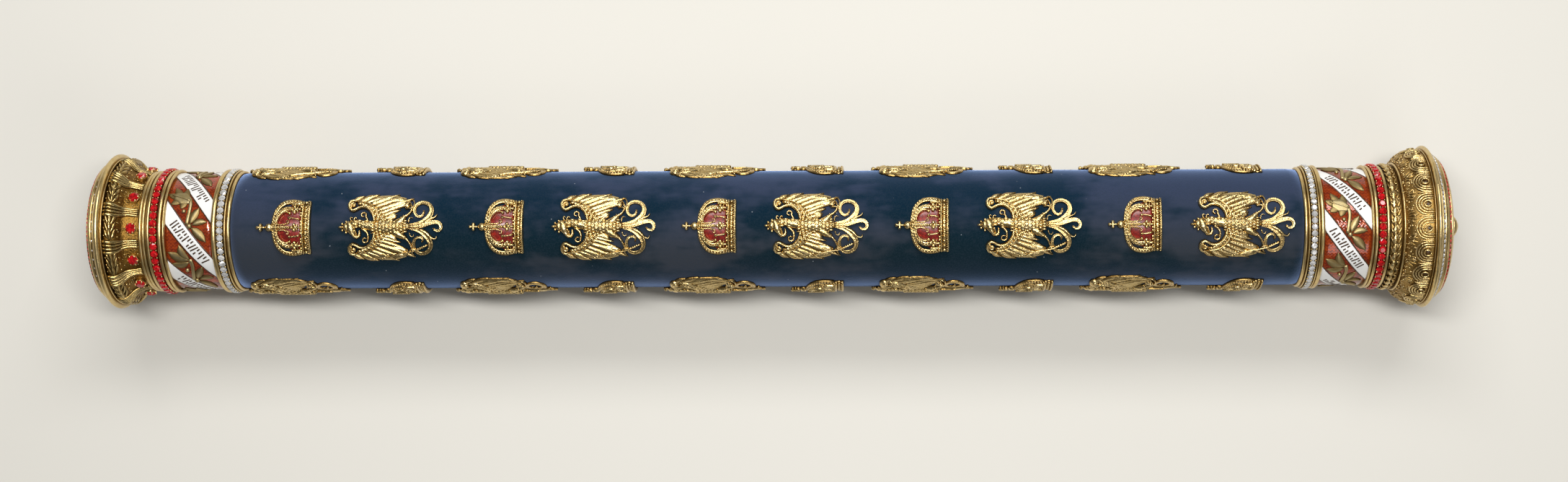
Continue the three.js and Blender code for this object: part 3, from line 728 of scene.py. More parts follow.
def crown_surfaces():
    """A crown with a cross and orb, beaded arches over a red lining, trefoils and a pearled band."""
    s = Surfaces()

    def line(path, width, height, base=0.0, count=10, around=6, section="round", slot=0):
        scaled = [(u * CROWN_UNIT, v * CROWN_UNIT) for u, v in path]
        stroke(s, scaled, np.atleast_1d(width) * CROWN_UNIT, height, base, count, around, section, slot)

    def dots(middles, radius, base=0.0, sides=6):
        beads(s, np.array(middles) * CROWN_UNIT, radius * CROWN_UNIT, base, sides)

    def beaded(path, count, width, height, base, bead):
        line(path, width, height, base, 12, 6, "hollow")
        dots(along_line(path, count), bead, base + height * 0.6)

    # Lining
    lining = [(-12, 0), (-6, 0), (4, 0), (14, 0), (24, 0)]
    line(lining, [18, 50, 64, 70, 70], [0.55, 0.85, 0.9, 0.8, 0.6], 0.1, 12, 15, "round", 1)
    # Cross and orb
    line([(-39.4, 0), (-36, 0), (-33, 0), (-27, 0)], [5.6, 3.6, 3.8, 3.4], 1.2, 0.5, 8)
    line([(-33.6, -4.6), (-33.6, 0), (-33.6, 4.6)], [5.4, 3.6, 5.4], 1.2, 0.5, 8)
    dots([(-38.2, 0), (-33.6, 3.6), (-33.6, -3.6)], 2.6, 1.0)
    dots([(-21.6, 0)], 6.2, 0.3, 12)
    line([(-27.2, -0.0), (-16.6, 0.0)], [5.0, 11.5], [0.7, 1.2], 0.2, 5)
    # Arches
    for way in (1, -1):
        limb = [(-15, 2), (-14.8, 10), (-12.8, 20.5), (-8.5, 29.2), (-2, 35.4), (6, 37.8), (14, 38.2)]
        limb += [(24, 36.4)]
        beaded([(u, v * way) for u, v in limb], 16, 6.0, 0.8, 0.5, 1.95)
        side = [(-11.6, 3), (-11.2, 11), (-8.0, 19.0), (-2.5, 25.0), (4, 27.4), (10, 26.8), (15, 24)]
        beaded([(u, v * way) for u, v in side], 11, 6.6, 0.9, 0.7, 1.9)
        rim = [(-9.4, 4.6), (-8.6, 12), (-4.6, 18.4), (2, 21.8), (7, 21.0)]
        line([(u, v * way) for u, v in rim], 2.8, 1.0, 1.0, 10, 6)
        dots([(8.4, 20.2 * way)], 2.5, 1.2)
        line([(-14, 4.2 * way), (0, 4.0 * way), (5.4, 5.8 * way)], [2.4, 2.2, 2.4], 0.9, 1.1, 7, 6)
        line(hook((6.2, 7.8 * way), 2.6, -120 * way, 290 * way), [2.1, 1.6], 1.0, 1.1, 8, 6)
        # Spikes with pearls between the leaves, and the leaves
        for spike in ([(8.5, 13.4), (16, 12.8), (23, 11.4)], [(12.6, 33.0), (16, 32.4), (24, 32.0)]):
            spike = [(u, v * way) for u, v in spike]
            line(spike, [2.6, 2.6, 3.2], 0.9, 1.0, 6, 6)
            dots(spike[:1], 2.4, 1.2)
        trefoil(line, dots, 25.6 * way)
        dots([(24.4, v * way) for v in (4, 8.5, 17, 21, 30, 34)], 2.1, 0.8)
    beaded([(-14, 0), (-6, 0), (8, 0)], 9, 4.6, 0.9, 1.2, 1.7)
    trefoil(line, dots, 0.0)
    # Band
    span = 38.0
    line([(27.2, -span), (26.4, 0), (27.2, span)], 4.0, [0.9, 1.6, 0.9], 0.3, 11)
    line([(31.7, -span), (31.4, 0), (31.7, span)], 6.0, [0.3, 0.8, 0.3], 0.3, 11, 5, "flat")
    line([(36.4, -span), (36.4, 0), (36.4, span)], 4.2, [0.9, 1.5, 0.9], 0.3, 11)
    dots(along_line([(31.7, -35.6), (31.4, 0), (31.7, 35.6)], 12), 2.3, 0.95, 8)
    dots(along_line([(35.4, -36.5), (35.2, 0), (35.4, 36.5)], 24), 1.1, 1.5, 6)
    return s


def trefoil(line, dots, v):
    """A leaf of three lobes standing on the band."""
    line([(24.5, v), (18.5, v)], [4.2, 2.8], 1.0, 0.9, 5, 6)
    dots([(17.2, v), (15.2, v + 3.6), (15.2, v - 3.6), (11.6, v)], 3.0, 1.1)
    line([(20.5, v - 4.8), (19.2, v), (20.5, v + 4.8)], [1.9, 2.2, 1.9], 0.8, 0.9, 7, 6)


def add_ornaments(kind, surfaces, finishes, slot):
    """Every eagle or crown, in place of its node. Its side is a chord across the tube, as the node's is."""
    numbers = sorted(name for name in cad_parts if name.startswith(kind + "_"))
    for name in numbers:
        middle = node_middle(name) - VELVET_START
        start = np.dot(middle, ALONG)
        turn = math.atan2(np.dot(middle, ACROSS), np.dot(middle, UPWARD))
        turn = ROW_TURN + round((turn - ROW_TURN) / (math.pi / 2)) * math.pi / 2
        mount = Mount(start, 1, turn)

        def place(points, mount=mount):
            angle = np.arcsin(np.clip(points[:, 1] / ORNAMENT_RADIUS, -1, 1))
            return mount.place(np.stack([points[:, 0], angle, TUBE_RADIUS + points[:, 2]], -1))

        make_piece(name + "_cast", surfaces, place, finishes, slot, [name])


add_ornaments("eagle", eagle_surfaces(), [GILT_CAST], "gilt")
add_ornaments("crown", crown_surfaces(), [GILT_CAST, LINING], "gilt")

# Stones

STONE_SIDES = 8
GRAIN_OFFSET = 0.85
GRAIN_SIZE = 0.3


def stones(surfaces, distance, radius, count, size, seat, turn=0.0):
    """A row of cut stones round the axis: a foot, a girdle, a bevelled crown and a flat table, in facets.

    The table's corners stand over the middles of the girdle's sides, which makes the bevels triangles.
    """
    rings = np.array([[0.45, -seat], [1.0, 0.0], [1.0, 0.12 * size], [0.62, 0.50 * size]])
    turns = np.array([0.0, 0.0, 0.0, 0.5])[:, None]
    angle = turn + 2 * math.pi * np.arange(count) / count
    facet = 2 * math.pi * (np.arange(STONE_SIDES) + turns) / STONE_SIDES
    grid = np.zeros((count, len(rings), STONE_SIDES, 3))
    grid[..., 0] = distance + size * rings[:, 0, None] * np.cos(facet)
    grid[..., 1] = angle[:, None, None] + size * rings[:, 0, None] * np.sin(facet) / radius
    grid[..., 2] = radius + rings[:, 1, None]
    surfaces.add(grid, 1.0)


def stone_row(node, mount, distance, radius, count, finish, slot):
    """A row of stones as one piece, in place of its node."""
    surfaces = Surfaces()
    size = math.pi * radius / count * 0.97
    stones(surfaces, distance, radius, count, size, 0.9)
    make_piece(node + "_cut", surfaces, mount.place, [finish], slot, [node], smooth=False)


def grains(surfaces, middle, radius, count):
    """Grains of metal between a row's stones, on both sides: a foot and two rings that draw in upwards."""
    angle = 2 * math.pi * (np.arange(count) + 0.5) / count
    turns = np.linspace(0, 2 * math.pi, 6, endpoint=False)
    rings = np.array([[1.0, -1.2], [1.0, 0.2], [0.55, 0.9]]) * GRAIN_SIZE
    for offset in (-GRAIN_OFFSET, GRAIN_OFFSET):
        grid = np.zeros((count, 3, 6, 3))
        grid[..., 0] = middle + offset + rings[:, 0, None] * np.cos(turns)
        grid[..., 1] = angle[:, None, None] + rings[:, 0, None] * np.sin(turns) / radius
        grid[..., 2] = radius + rings[:, 1, None]
        surfaces.add(grid, np.array([0.1, 0.8, 1.0])[:, None])


# Bands

INSIDE_RADIUS = 18.0
SEAT_DEPTH = 0.75
SEAT_WIDTH = 2.7


def diamond_band(side, mount, count, outer_edge):
    """The ring beside the velvet, a lip, the seat of the diamonds, and a broad roll."""
    start, end = mount.span("diamond_band_" + side)
    seat_from = 2.05
    seat_to = seat_from + SEAT_WIDTH
    seat_middle = (seat_from + seat_to) / 2
    profile = [(0.02, INSIDE_RADIUS, 0.0)]
    profile += roll(0.03, 1.35, 20.0, 0.75)
    profile += [(1.45, 20.0, 0.0)]
    profile += roll(1.5, seat_from, 20.7, 0.35, 5)
    profile += [(seat_from, 21.1 - SEAT_DEPTH, 0.25), (seat_to, 21.1 - SEAT_DEPTH, 0.25)]
    if outer_edge:
        profile += roll(seat_to, seat_to + 0.5, 20.9, 0.3, 5) + [(seat_to + 0.6, 20.3, 0.0)]
        seat_to += 0.7
    profile += roll(seat_to, end, 20.7, 0.65, 11)
    profile += [(end + 0.2, INSIDE_RADIUS, 0.0)]
    surfaces = Surfaces()
    turned(surfaces, profile)
    grains(surfaces, seat_middle, 21.05, count)
    node = "diamond_band_" + side
    make_piece(node + "_gilt", surfaces, mount.place, [GILT], "gilt", [node])
    stone_row("diamonds_" + side, mount, seat_middle, 21.0, count, DIAMOND, "diamond")


def ruby_band(side, mount, count, seat_share):
    """A roll beside the enamel, a flat, the seat of the rubies, a flat and a thin ring beside the cap."""
    start, end = mount.span("ruby_band_" + side)
    start -= 0.25
    seat_from = start + seat_share
    seat_to = seat_from + SEAT_WIDTH
    profile = [(start, INSIDE_RADIUS, 0.0)]
    profile += roll(start + 0.02, start + 0.4 * seat_share, 20.3, 1.0)
    profile += [(start + 0.45 * seat_share, 20.4, 0.0)]
    profile += roll(start + 0.5 * seat_share, seat_from, 20.8, 0.35, 7)
    profile += [(seat_from, 21.2 - SEAT_DEPTH, 0.25), (seat_to, 21.2 - SEAT_DEPTH, 0.25)]
    rest = end + 0.1 - seat_to
    if rest > 2:
        profile += roll(seat_to, seat_to + 0.4 * rest, 20.8, 0.35, 7)
        profile += [(seat_to + 0.5 * rest, 20.2, 0.0)]
        profile += roll(seat_to + 0.6 * rest, end + 0.1, 20.3, 0.6)
    else:
        profile += roll(seat_to, end + 0.1, 20.8, 0.4, 7)
    profile += [(end + 0.15, INSIDE_RADIUS, 0.0)]
    surfaces = Surfaces()
    turned(surfaces, profile)
    seat_middle = (seat_from + seat_to) / 2
    grains(surfaces, seat_middle, 21.2, count)
    node = "ruby_band_" + side
    make_piece(node + "_gilt", surfaces, mount.place, [GILT], "gilt", [node])
    stone_row("rubies_" + side, mount, seat_middle, 21.15, count, RUBY, "ruby")


LEFT_RUBIES, RIGHT_RUBIES = 50, 50
LEFT_DIAMONDS, RIGHT_DIAMONDS = 56, 60
diamond_band("left", LEFT, LEFT_DIAMONDS, False)
diamond_band("right", RIGHT, RIGHT_DIAMONDS, True)
ruby_band("left", LEFT, LEFT_RUBIES, 2.6)
ruby_band("right", RIGHT, RIGHT_RUBIES, 2.3)

# Enamel bands

ENAMEL_RADIUS = 20.1
RIBBONS = 6
STROKE_KINDS = [
    [(-0.3, 0.3, 0)],
    [(-0.3, -0.07, 0), (0.07, 0.3, 0)],
    [(-0.3, 0.3, 0.3)],
    [(-0.3, 0.0, 0)],
]


def enamel_band(side, mount, first_ribbon, ribbon_width):
    """The enamel drum, its white ribbons with dark strokes, and gilt sprays between them.

    A ribbon's middle runs at the angle first + 60 degrees times its number - 60 degrees times the share of
    the band's width.
    """
    node = "enamel_band_" + side
    start, end = mount.span(node)
    start, end = start - 0.2, end + 0.2
    steps = np.linspace(start, end, 12)
    drum, white, dark, sprays = Surfaces(), Surfaces(), Surfaces(), Surfaces()
    turned(drum, np.stack([steps, np.full(12, ENAMEL_RADIUS), np.ones(12)], -1), 128)
    make_piece(node + "_ground", drum, mount.place, [enamel_finish(node)], "enamel", [node])
    pitch = 2 * math.pi / RIBBONS * ENAMEL_RADIUS
    width = ribbon_width * RAD * ENAMEL_RADIUS * (end - start) / math.hypot(end - start, pitch)
    for k in range(RIBBONS):
        first = first_ribbon * RAD * ENAMEL_RADIUS + k * pitch
        begin, finish = np.array([start, first]), np.array([end, first - pitch])
        ribbon_strip(white, begin, finish, width, 0.10)
        ribbon_strip(dark, begin, finish, width + 0.7, 0.05)
        ribbon_strokes(dark, begin, finish, width, k)
        oak = (k % 2 == 0) == (side == "right")
        spray(sprays, (start + end) / 2, first, mount.outward, oak)

    def onto(points):
        distance = np.clip(points[:, 0], start, end)
        return mount.wrap(distance, points[:, 1], ENAMEL_RADIUS, ENAMEL_RADIUS + points[:, 2])

    make_piece("ribbons_" + side, white, onto, [RIBBON], "enamel")
    make_piece("ribbon_strokes_" + side, dark, onto, [DARK], "enamel")
    make_piece("sprays_" + side, sprays, onto, [GILT_DULL], "gilt")


def ribbon_strip(surfaces, begin, end, width, height):
    """A flat ribbon laid along a line and run on past the band's edges, where it is cut."""
    step = end - begin
    stroke(surfaces, [begin - 0.25 * step, end + 0.25 * step], width, height, 0.0, 24, 7, "flat")


def ribbon_strokes(surfaces, begin, end, width, number):
    """Shallow strokes across a ribbon that aren't letters: tall, broken, leaning and short ones."""
    random = np.random.default_rng(5 + number)
    length = np.linalg.norm(end - begin)
    along = (end - begin) / length
    across = np.array([-along[1], along[0]])
    distances = np.arange(0.17 * length, 0.84 * length, 1.12)
    for distance, kind in zip(distances, random.integers(0, len(STROKE_KINDS), len(distances))):
        for low, high, lean in STROKE_KINDS[kind]:
            foot = begin + along * (distance - lean) + across * width * low
            top = begin + along * (distance + lean) + across * width * high
            stroke(surfaces, [foot, top], 0.52, 0.07, 0.1, 3, 5, "flat")


def spray(surfaces, middle, at, way, oak):
    """A branch between two ribbons: an oak leaf or laurel leaves, a stem, berries and three laurel leaves.

    Its points are millimetres along the baton and round it, from the middle of the gap.
    """

    def put(points):
        return [(middle + way * u, at + way * v) for u, v in points]

    def leaf(points, width):
        widths = [0.35, 0.8 * width, width, 0.75 * width, 0.15]
        stroke(surfaces, put(points), widths, [0.3, 0.45, 0.45, 0.3], 0.12, 9, 7, "leaf")

    stroke(surfaces, put([(-0.1, 4.4), (0.4, 1.7), (-0.4, -4.7)]), [1.4, 1.2, 1.3], 0.45, 0.1, 10, 6, "flat")
    leaf([(0.8, -4.3), (1.7, -2.0), (3.6, 1.2)], 2.9)
    leaf([(1.4, -4.7), (3.8, -3.7), (6.4, -3.8)], 2.4)
    leaf([(1.1, -5.6), (3.2, -7.4), (6.0, -10.6)], 3.2)
    if oak:
        stroke(surfaces, put([(0.3, 3.6), (-2.6, 4.9), (-5.4, 5.7)]), [2.0, 5.0, 2.6], 0.4, 0.1, 9, 7, "flat")
        lobes = [((-3.6, 5.2), (-7.6, 6.6)), ((-1.2, 4.6), (-1.6, 8.9)), ((-2.8, 5.4), (-5.6, 9.3)),
                 ((-1.2, 3.8), (-2.7, 0.9)), ((-3.0, 4.2), (-6.2, 2.6))]
        for foot, tip in lobes:
            bend = (0.5 * (foot[0] + tip[0]) - 0.2, 0.5 * (foot[1] + tip[1]))
            lobe = put([foot, bend, tip])
            stroke(surfaces, lobe, [1.6, 2.7, 2.3, 0.5], [0.35, 0.5, 0.3], 0.1, 8, 6, "leaf")
        stroke(surfaces, put([(0.2, 3.8), (-2.6, 4.9), (-6.2, 6.0)]), [0.6, 0.35], 0.3, 0.5, 8, 5)
    else:
        leaf([(-0.2, 4.4), (-2.4, 6.2), (-3.2, 9.6)], 3.0)
        leaf([(-0.4, 4.0), (-3.6, 4.8), (-7.2, 7.2)], 3.4)
        leaf([(-0.6, 3.2), (-3.4, 2.0), (-6.4, 2.8)], 2.7)
    beads(surfaces, put([(-1.6, 0.0)]), 0.75, 0.1, 9)
    beads(surfaces, put([(0.5, -5.1)]), 0.9, 0.1, 9)


enamel_band("left", LEFT, 40.7, 24.5)
enamel_band("right", RIGHT, 7.0, 21.5)

# Left cap

BELL_REFERENCE = 22.0
COLLETS = 12
COLLET_TURN = -2.8 * RAD


def bell_profile(start, end):
    """The bell from its neck ring to the flange, as distances and radii: a hollow, then a round bulge."""
    curve = [(0, 0), (0.06, 0), (0.25, 0.08), (0.42, 0.22), (0.5, 0.34), (0.57, 0.56), (0.67, 0.82)]
    curve += [(0.8, 1.0), (0.92, 1.0), (1, 0.86)]
    share, rise = along_line(curve, 34).T
    return start + share * (end - start), 20.0 + rise * 4.7


def left_cap():
    """The cap with its neck ring, the carved bell, the settings of its stones, and the flange."""
    start, end = LEFT.span("cap_left")
    start -= 0.25
    flange_from = end - 3.0
    bell_from = start + 1.35
    distance, radius = bell_profile(bell_from, flange_from - 0.1)
    rings, bell = Surfaces(), Surfaces()
    neck = roll(start + 0.02, bell_from, 19.9, 0.85)
    turned(rings, [(start, INSIDE_RADIUS, 0.0)] + neck + [(bell_from + 0.05, INSIDE_RADIUS, 0.0)])
    profile = [(flange_from - 0.05, 22.0, 0.0), (flange_from - 0.05, 24.3, 0.0)]
    profile += roll(flange_from, flange_from + 0.45, 24.9, 0.35, 7)
    profile += roll(flange_from + 0.5, flange_from + 2.6, 25.2, 1.55, 15)
    profile += roll(flange_from + 2.6, end, 25.3, 0.4, 7)
    profile += [(end + 0.05, 24.9, 0.1), (end + 0.1, 22.0, 0.0)]
    turned(rings, profile, 180)
    inside = [(bell_from - 0.1, 17.0, 0.0), (flange_from + 0.1, 22.5, 0.0)]
    # The bell's ground has a low lift: painted shade in its hollow between the carving
    turned(bell, inside[:1] + [(d, r, 0.22) for d, r in zip(distance, radius)] + inside[1:], 180)
    carving = Surfaces()
    segment = BELL_REFERENCE * 2 * math.pi / COLLETS
    random = np.random.default_rng(8)
    for k in range(COLLETS):
        at = BELL_REFERENCE * COLLET_TURN + k * segment
        reeds(carving, bell_from, flange_from, at + segment / 2)
        bulge_leaves(carving, bell_from + 8.0, at)
        sparks(carving, bell_from + 2.1, at, random)

    def onto(points):
        ground = np.interp(points[:, 0], distance, radius)
        return LEFT.wrap(points[:, 0], points[:, 1], BELL_REFERENCE, ground + points[:, 2])

    make_piece("cap_left_rings", rings, LEFT.place, [GILT], "gilt", ["cap_left"], on_table=True)
    make_piece("cap_left_bell", bell, LEFT.place, [GILT_AMBER], "gilt")
    make_piece("cap_left_carving", carving, onto, [GILT_OLD], "gilt")
    set_stones(bell_from + 2.1)


def reeds(surfaces, start, end, middle):
    """A bundle of four reeds from the neck ring to the flange, wider over the bulge, with a slight sway."""
    for share, width in ((-1.0, 1.15), (-0.35, 0.85), (0.3, 0.85), (1.0, 1.15)):
        path = [(start + 0.1, middle + 1.15 * share), (start + 3.6, middle + 1.1 * share - 0.15),
                (start + 6.3, middle + 1.55 * share + 0.25), (end - 0.1, middle + 1.7 * share)]
        stroke(surfaces, path, [0.8 * width, 0.85 * width, width, width], [0.5, 0.7, 0.95, 0.9], 0.1, 14, 8)


def bulge_leaves(surfaces, crest, at):
    """Laurel leaves along the bulge between two bundles of reeds, in three rows of three, with berries."""
    for row in (-1, 0, 1):
        for column in (-1, 0, 1):
            foot = (crest + 0.3 * column, at + 2.3 * row + 1.3)
            bend = (crest + 1.05 * column, at + 2.3 * row - 0.3)
            tip = (crest + 1.6 * column + 0.15, at + 2.3 * row - 2.0)
            base = 0.05 + 0.25 * (column == 0)
            stroke(surfaces, [foot, bend, tip], [0.3, 1.05, 1.15, 0.2], [0.45, 0.7, 0.3], base, 9, 7, "leaf")
        beads(surfaces, [(crest + 2.0, at + 2.3 * row), (crest - 2.1, at + 2.3 * row + 0.6)], 0.34, 0.1, 6)


def sparks(surfaces, distance, at, random):
    """Small grains scattered round a stone over the hollow of the bell."""
    for turn, reach, size in random.uniform((0, 2.2, 0.14), (2 * math.pi, 3.9, 0.3), (22, 3)):
        along = distance + reach * math.cos(turn)
        if along > distance - 1.9:
            beads(surfaces, [(along, at + reach * math.sin(turn))], size, 0.0, 6)


def set_stones(distance):
    """The cap's twelve stones, each in a cup with claws up to its girdle."""
    settings, cut = Surfaces(), Surfaces()
    size, girdle, sides = 1.8, 21.3, 12
    turn = np.linspace(0, 2 * math.pi, sides, endpoint=False)
    angle = COLLET_TURN + 2 * math.pi * np.arange(COLLETS) / COLLETS
    cup = np.array([[1.9, -1.6], [1.45, -1.0], [1.75, -0.3], [1.75, -0.1], [1.3, -0.4]])
    grid = np.zeros((COLLETS, len(cup), sides, 3))
    grid[..., 0] = distance + cup[:, 0, None] * np.cos(turn)
    grid[..., 1] = angle[:, None, None] + cup[:, 0, None] * np.sin(turn) / girdle
    grid[..., 2] = girdle + cup[:, 1, None]
    settings.add(grid, np.array([0.2, 0.4, 0.9, 0.9, 0.1])[:, None])
    reach = np.array([[1.5, -1.0], [1.8, -0.3], [1.85, 0.35], [1.55, 0.7]])
    ring = np.linspace(0, 2 * math.pi, 6, endpoint=False)
    for claw in np.arange(6) * math.pi / 3:
        middle = np.stack([reach[:, 0] * math.cos(claw), reach[:, 0] * math.sin(claw)], -1)
        grid = np.zeros((COLLETS, 4, 6, 3))
        grid[..., 0] = distance + middle[:, 0, None] + 0.24 * np.cos(ring)
        grid[..., 1] = angle[:, None, None] + (middle[:, 1, None] + 0.24 * np.sin(ring)) / girdle
        grid[..., 2] = girdle + reach[:, 1, None]
        settings.add(grid, 0.9)
    stones(cut, distance, girdle, COLLETS, size, 1.4, COLLET_TURN)
    make_piece("cap_left_settings", settings, LEFT.place, [GILT], "gilt")
    make_piece("cap_left_stones", cut, LEFT.place, [RUBY], "ruby", smooth=False)


left_cap()

# Garland ring


def garland():
    """The ring of laurel: a rounded ring with overlapping leaves, and berries on the cap's side."""
    start, end = RIGHT.span("garland_ring")
    start -= 0.25
    end += 0.25
    radius = 21.2
    ring = Surfaces()
    profile = [(start, INSIDE_RADIUS, 0.0), (start, 20.6, 0.0)]
    profile += roll(start + 0.3, end - 0.2, 20.6, 0.35, 9, 0.0)
    profile += [(end, 20.6, 0.1), (end, INSIDE_RADIUS, 0.0)]
    # Half the lift: painted shade on the ring under the leaves
    turned(ring, [(d, r, 0.5 * lift) for d, r, lift in profile])
    leaves = Surfaces()
    count = 42
    pitch = 2 * math.pi / count * radius
    for k in range(count):
        at = k * pitch
        leaf = [(start + 1.5, at), (start + 1.6, at + 1.8), (start + 1.8, at + 3.7)]
        stroke(leaves, leaf, [1.0, 2.1, 1.9, 0.3], [0.5, 0.9, 0.3], [-0.25, -0.1, 0.25], 9, 8)
        leaf = [(start + 2.6, at + 0.4), (start + 3.3, at + 1.8), (start + 3.7, at + 3.2)]
        stroke(leaves, leaf, [0.5, 1.2, 0.9, 0.2], [0.35, 0.55, 0.25], 0.0, 8, 6, "leaf")
        leaf = [(start + 0.9, at + 1.2), (start + 0.3, at + 2.6)]
        stroke(leaves, leaf, [0.9, 0.3], [0.45, 0.3], 0.0, 5, 5, "leaf")
    beads(leaves, [(start + 3.1, k * pitch) for k in range(count)], 0.38, 0.1, 6)

    def onto(points):
        return RIGHT.wrap(points[:, 0], points[:, 1], radius, radius + points[:, 2])

    make_piece("garland_ground", ring, RIGHT.place, [GILT], "gilt", ["garland_ring"])
    make_piece("garland_leaves", leaves, onto, [GILT_CAST], "gilt")


garland()

# Right cap

OVOLO_REFERENCE = 25.0
OVOLO_LEAVES = 20
OVOLO_TURN = -1.3 * RAD


def right_cap():
    """The cap with its thin ring, the carved ovolo and the flange."""
    start, end = RIGHT.span("cap_right")
    start -= 0.25
    flange_from = end - 2.7
    ovolo_from = start + 0.85
    t = np.linspace(0, 1, 26) * math.pi / 2
    distance = ovolo_from + (flange_from - ovolo_from) * (1 - np.cos(t))
    radius = 21.9 + 4.4 * np.sin(t)
    surfaces = Surfaces()
    profile = [(start, INSIDE_RADIUS, 0.0)] + roll(start + 0.02, ovolo_from - 0.05, 21.6, 0.5)
    # The ovolo's ground has a low lift: painted shade between the carving
    profile += [(d, r, 0.24) for d, r in zip(distance, radius)]
    profile += [(flange_from + 0.1, 25.4, 0.0)]
    profile += roll(flange_from + 0.15, flange_from + 0.55, 26.3, 0.45, 7)
    profile += [(flange_from + 0.65, 26.2, 0.0)]
    profile += roll(flange_from + 0.7, end - 0.3, 26.6, 1.35, 15)
    profile += roll(end - 0.35, end, 26.6, 0.4, 7)
    profile += [(end + 0.05, 26.3, 0.1), (end + 0.1, 22.0, 0.0)]
    turned(surfaces, profile, 180)
    carving = Surfaces()
    random = np.random.default_rng(3)
    arc = np.concatenate([[0], np.cumsum(np.hypot(np.diff(distance), np.diff(radius)))])
    for k in range(OVOLO_LEAVES):
        ovolo_leaf(carving, OVOLO_REFERENCE * (OVOLO_TURN + k * 2 * math.pi / OVOLO_LEAVES), arc[-1], random)
    curve = distance, radius, np.gradient(distance, arc), np.gradient(radius, arc)

    def onto(points):
        """The stroke's first coordinate runs along the ovolo's curve, and its height stands square to it."""
        along, across, height = points.T
        d, r, slope_d, slope_r = [np.interp(along, arc, values) for values in curve]
        return RIGHT.wrap(d - height * slope_r, across, OVOLO_REFERENCE, r + height * slope_d)

    make_piece("cap_right_ovolo", surfaces, RIGHT.place, [GILT], "gilt", ["cap_right"], on_table=True)
    make_piece("cap_right_carving", carving, onto, [GILT_CAST, DARK], "gilt")


def ovolo_leaf(surfaces, at, length, random):
    """An eye in a shell of ridges that open towards the flange, with small leaves and grains at the neck."""
    eye = 0.79 * length
    ring = [(eye + 1.1 * math.cos(a), at + 0.95 * math.sin(a)) for a in np.linspace(0, 2 * math.pi, 14)]
    stroke(surfaces, ring, 0.6, 0.85, 0.15, 18, 7)
    # A dark flat stroke in the eye: painted shade in its hollow
    stroke(surfaces, [(eye - 0.5, at), (eye + 0.6, at)], [0.6, 1.5], 0.3, 0.1, 5, 6, "flat", 1)
    turns = np.linspace(0, math.pi, 9)
    for half in (1.85, 2.65, 3.45):
        bow = [(eye - 1.08 * half * math.sin(a), at + half * math.cos(a)) for a in turns]
        legs = (0.985 * length, 0.9 * length)
        path = [(leg, at + half) for leg in legs] + bow + [(leg, at - half) for leg in legs[::-1]]
        stroke(surfaces, path, [0.6, 0.74, 0.78, 0.74, 0.6], [0.4, 0.68, 0.66, 0.68, 0.4], 0.0, 24, 7)
    between = at + OVOLO_REFERENCE * math.pi / OVOLO_LEAVES
    rib = [(share * length, between) for share in (0.5, 0.7, 0.98)]
    stroke(surfaces, rib, [0.2, 0.6, 0.62], [0.4, 0.65, 0.5], 0.1, 9, 7)
    for tip, reach in ((-1.7, 0.40), (-0.6, 0.50), (0.6, 0.50), (1.7, 0.40)):
        leaf = [(0.12 * length, between + 0.5 * tip), (0.27 * length, between + 0.9 * tip)]
        leaf += [(reach * length, between + 1.1 * tip)]
        stroke(surfaces, leaf, [0.3, 1.0, 0.9, 0.2], [0.35, 0.6, 0.25], 0.05, 8, 6, "leaf")
    for share, off, size in random.uniform((0.03, -4.2, 0.16), (0.42, 4.2, 0.42), (30, 3)):
        beads(surfaces, [(share * length, at + off)], size, 0.02, 6)


right_cap()

# End plates


def end_plate(side, mount, profile, rows):
    """A plate of steps and rows of stones that rises to its middle."""
    node = "end_plate_" + side
    start, end = mount.span(node)
    surfaces = Surfaces()
    last_distance, last_radius = profile[-1][:2]
    radius = np.linspace(last_radius - 0.3, 0.3, 60)
    share = 1 - (radius / last_radius) ** 2
    ribs = sum(np.exp(-(((radius - last_radius * place) / 0.45) ** 2)) for place in (0.92, 0.62, 0.3))
    rise = last_distance + (end - start - last_distance - 0.3) * share + 0.3 * ribs
    dome = np.stack([rise, radius, 0.35 + 0.5 * ribs], -1).tolist()
    turned(surfaces, [(start + d, r, lift) for d, r, lift in profile + dome], 128)
    make_piece(node + "_gilt", surfaces, mount.place, [GILT], "gilt", [node])
    for name, finish, slot, distance, radius, count, size, tilt in rows:
        row = Surfaces()
        face_stones(row, start + distance, radius, count, size, tilt)
        make_piece(name, row, mount.place, [finish], slot, smooth=False)


def face_stones(surfaces, distance, radius, count, size, tilt, sides=STONE_SIDES):
    """A ring of cut stones that face between the radius and the axis, tilted by so many degrees."""
    rings = np.array([[0.6, -0.35], [1.0, 0.0], [0.6, 0.35]]) * size
    angle = 2 * math.pi * np.arange(count) / count
    facet = 2 * math.pi * (np.arange(sides) + np.array([0, 0, 0.5])[:, None]) / sides
    grid = np.zeros((count, 3, sides, 3))
    across = rings[:, 0, None] * np.cos(facet)
    grid[..., 0] = distance + across * math.cos(tilt * RAD) + rings[:, 1, None] * math.sin(tilt * RAD)
    grid[..., 1] = angle[:, None, None] + rings[:, 0, None] * np.sin(facet) / radius
    grid[..., 2] = radius - across * math.sin(tilt * RAD) + rings[:, 1, None] * math.cos(tilt * RAD)
    surfaces.add(grid, 1.0)


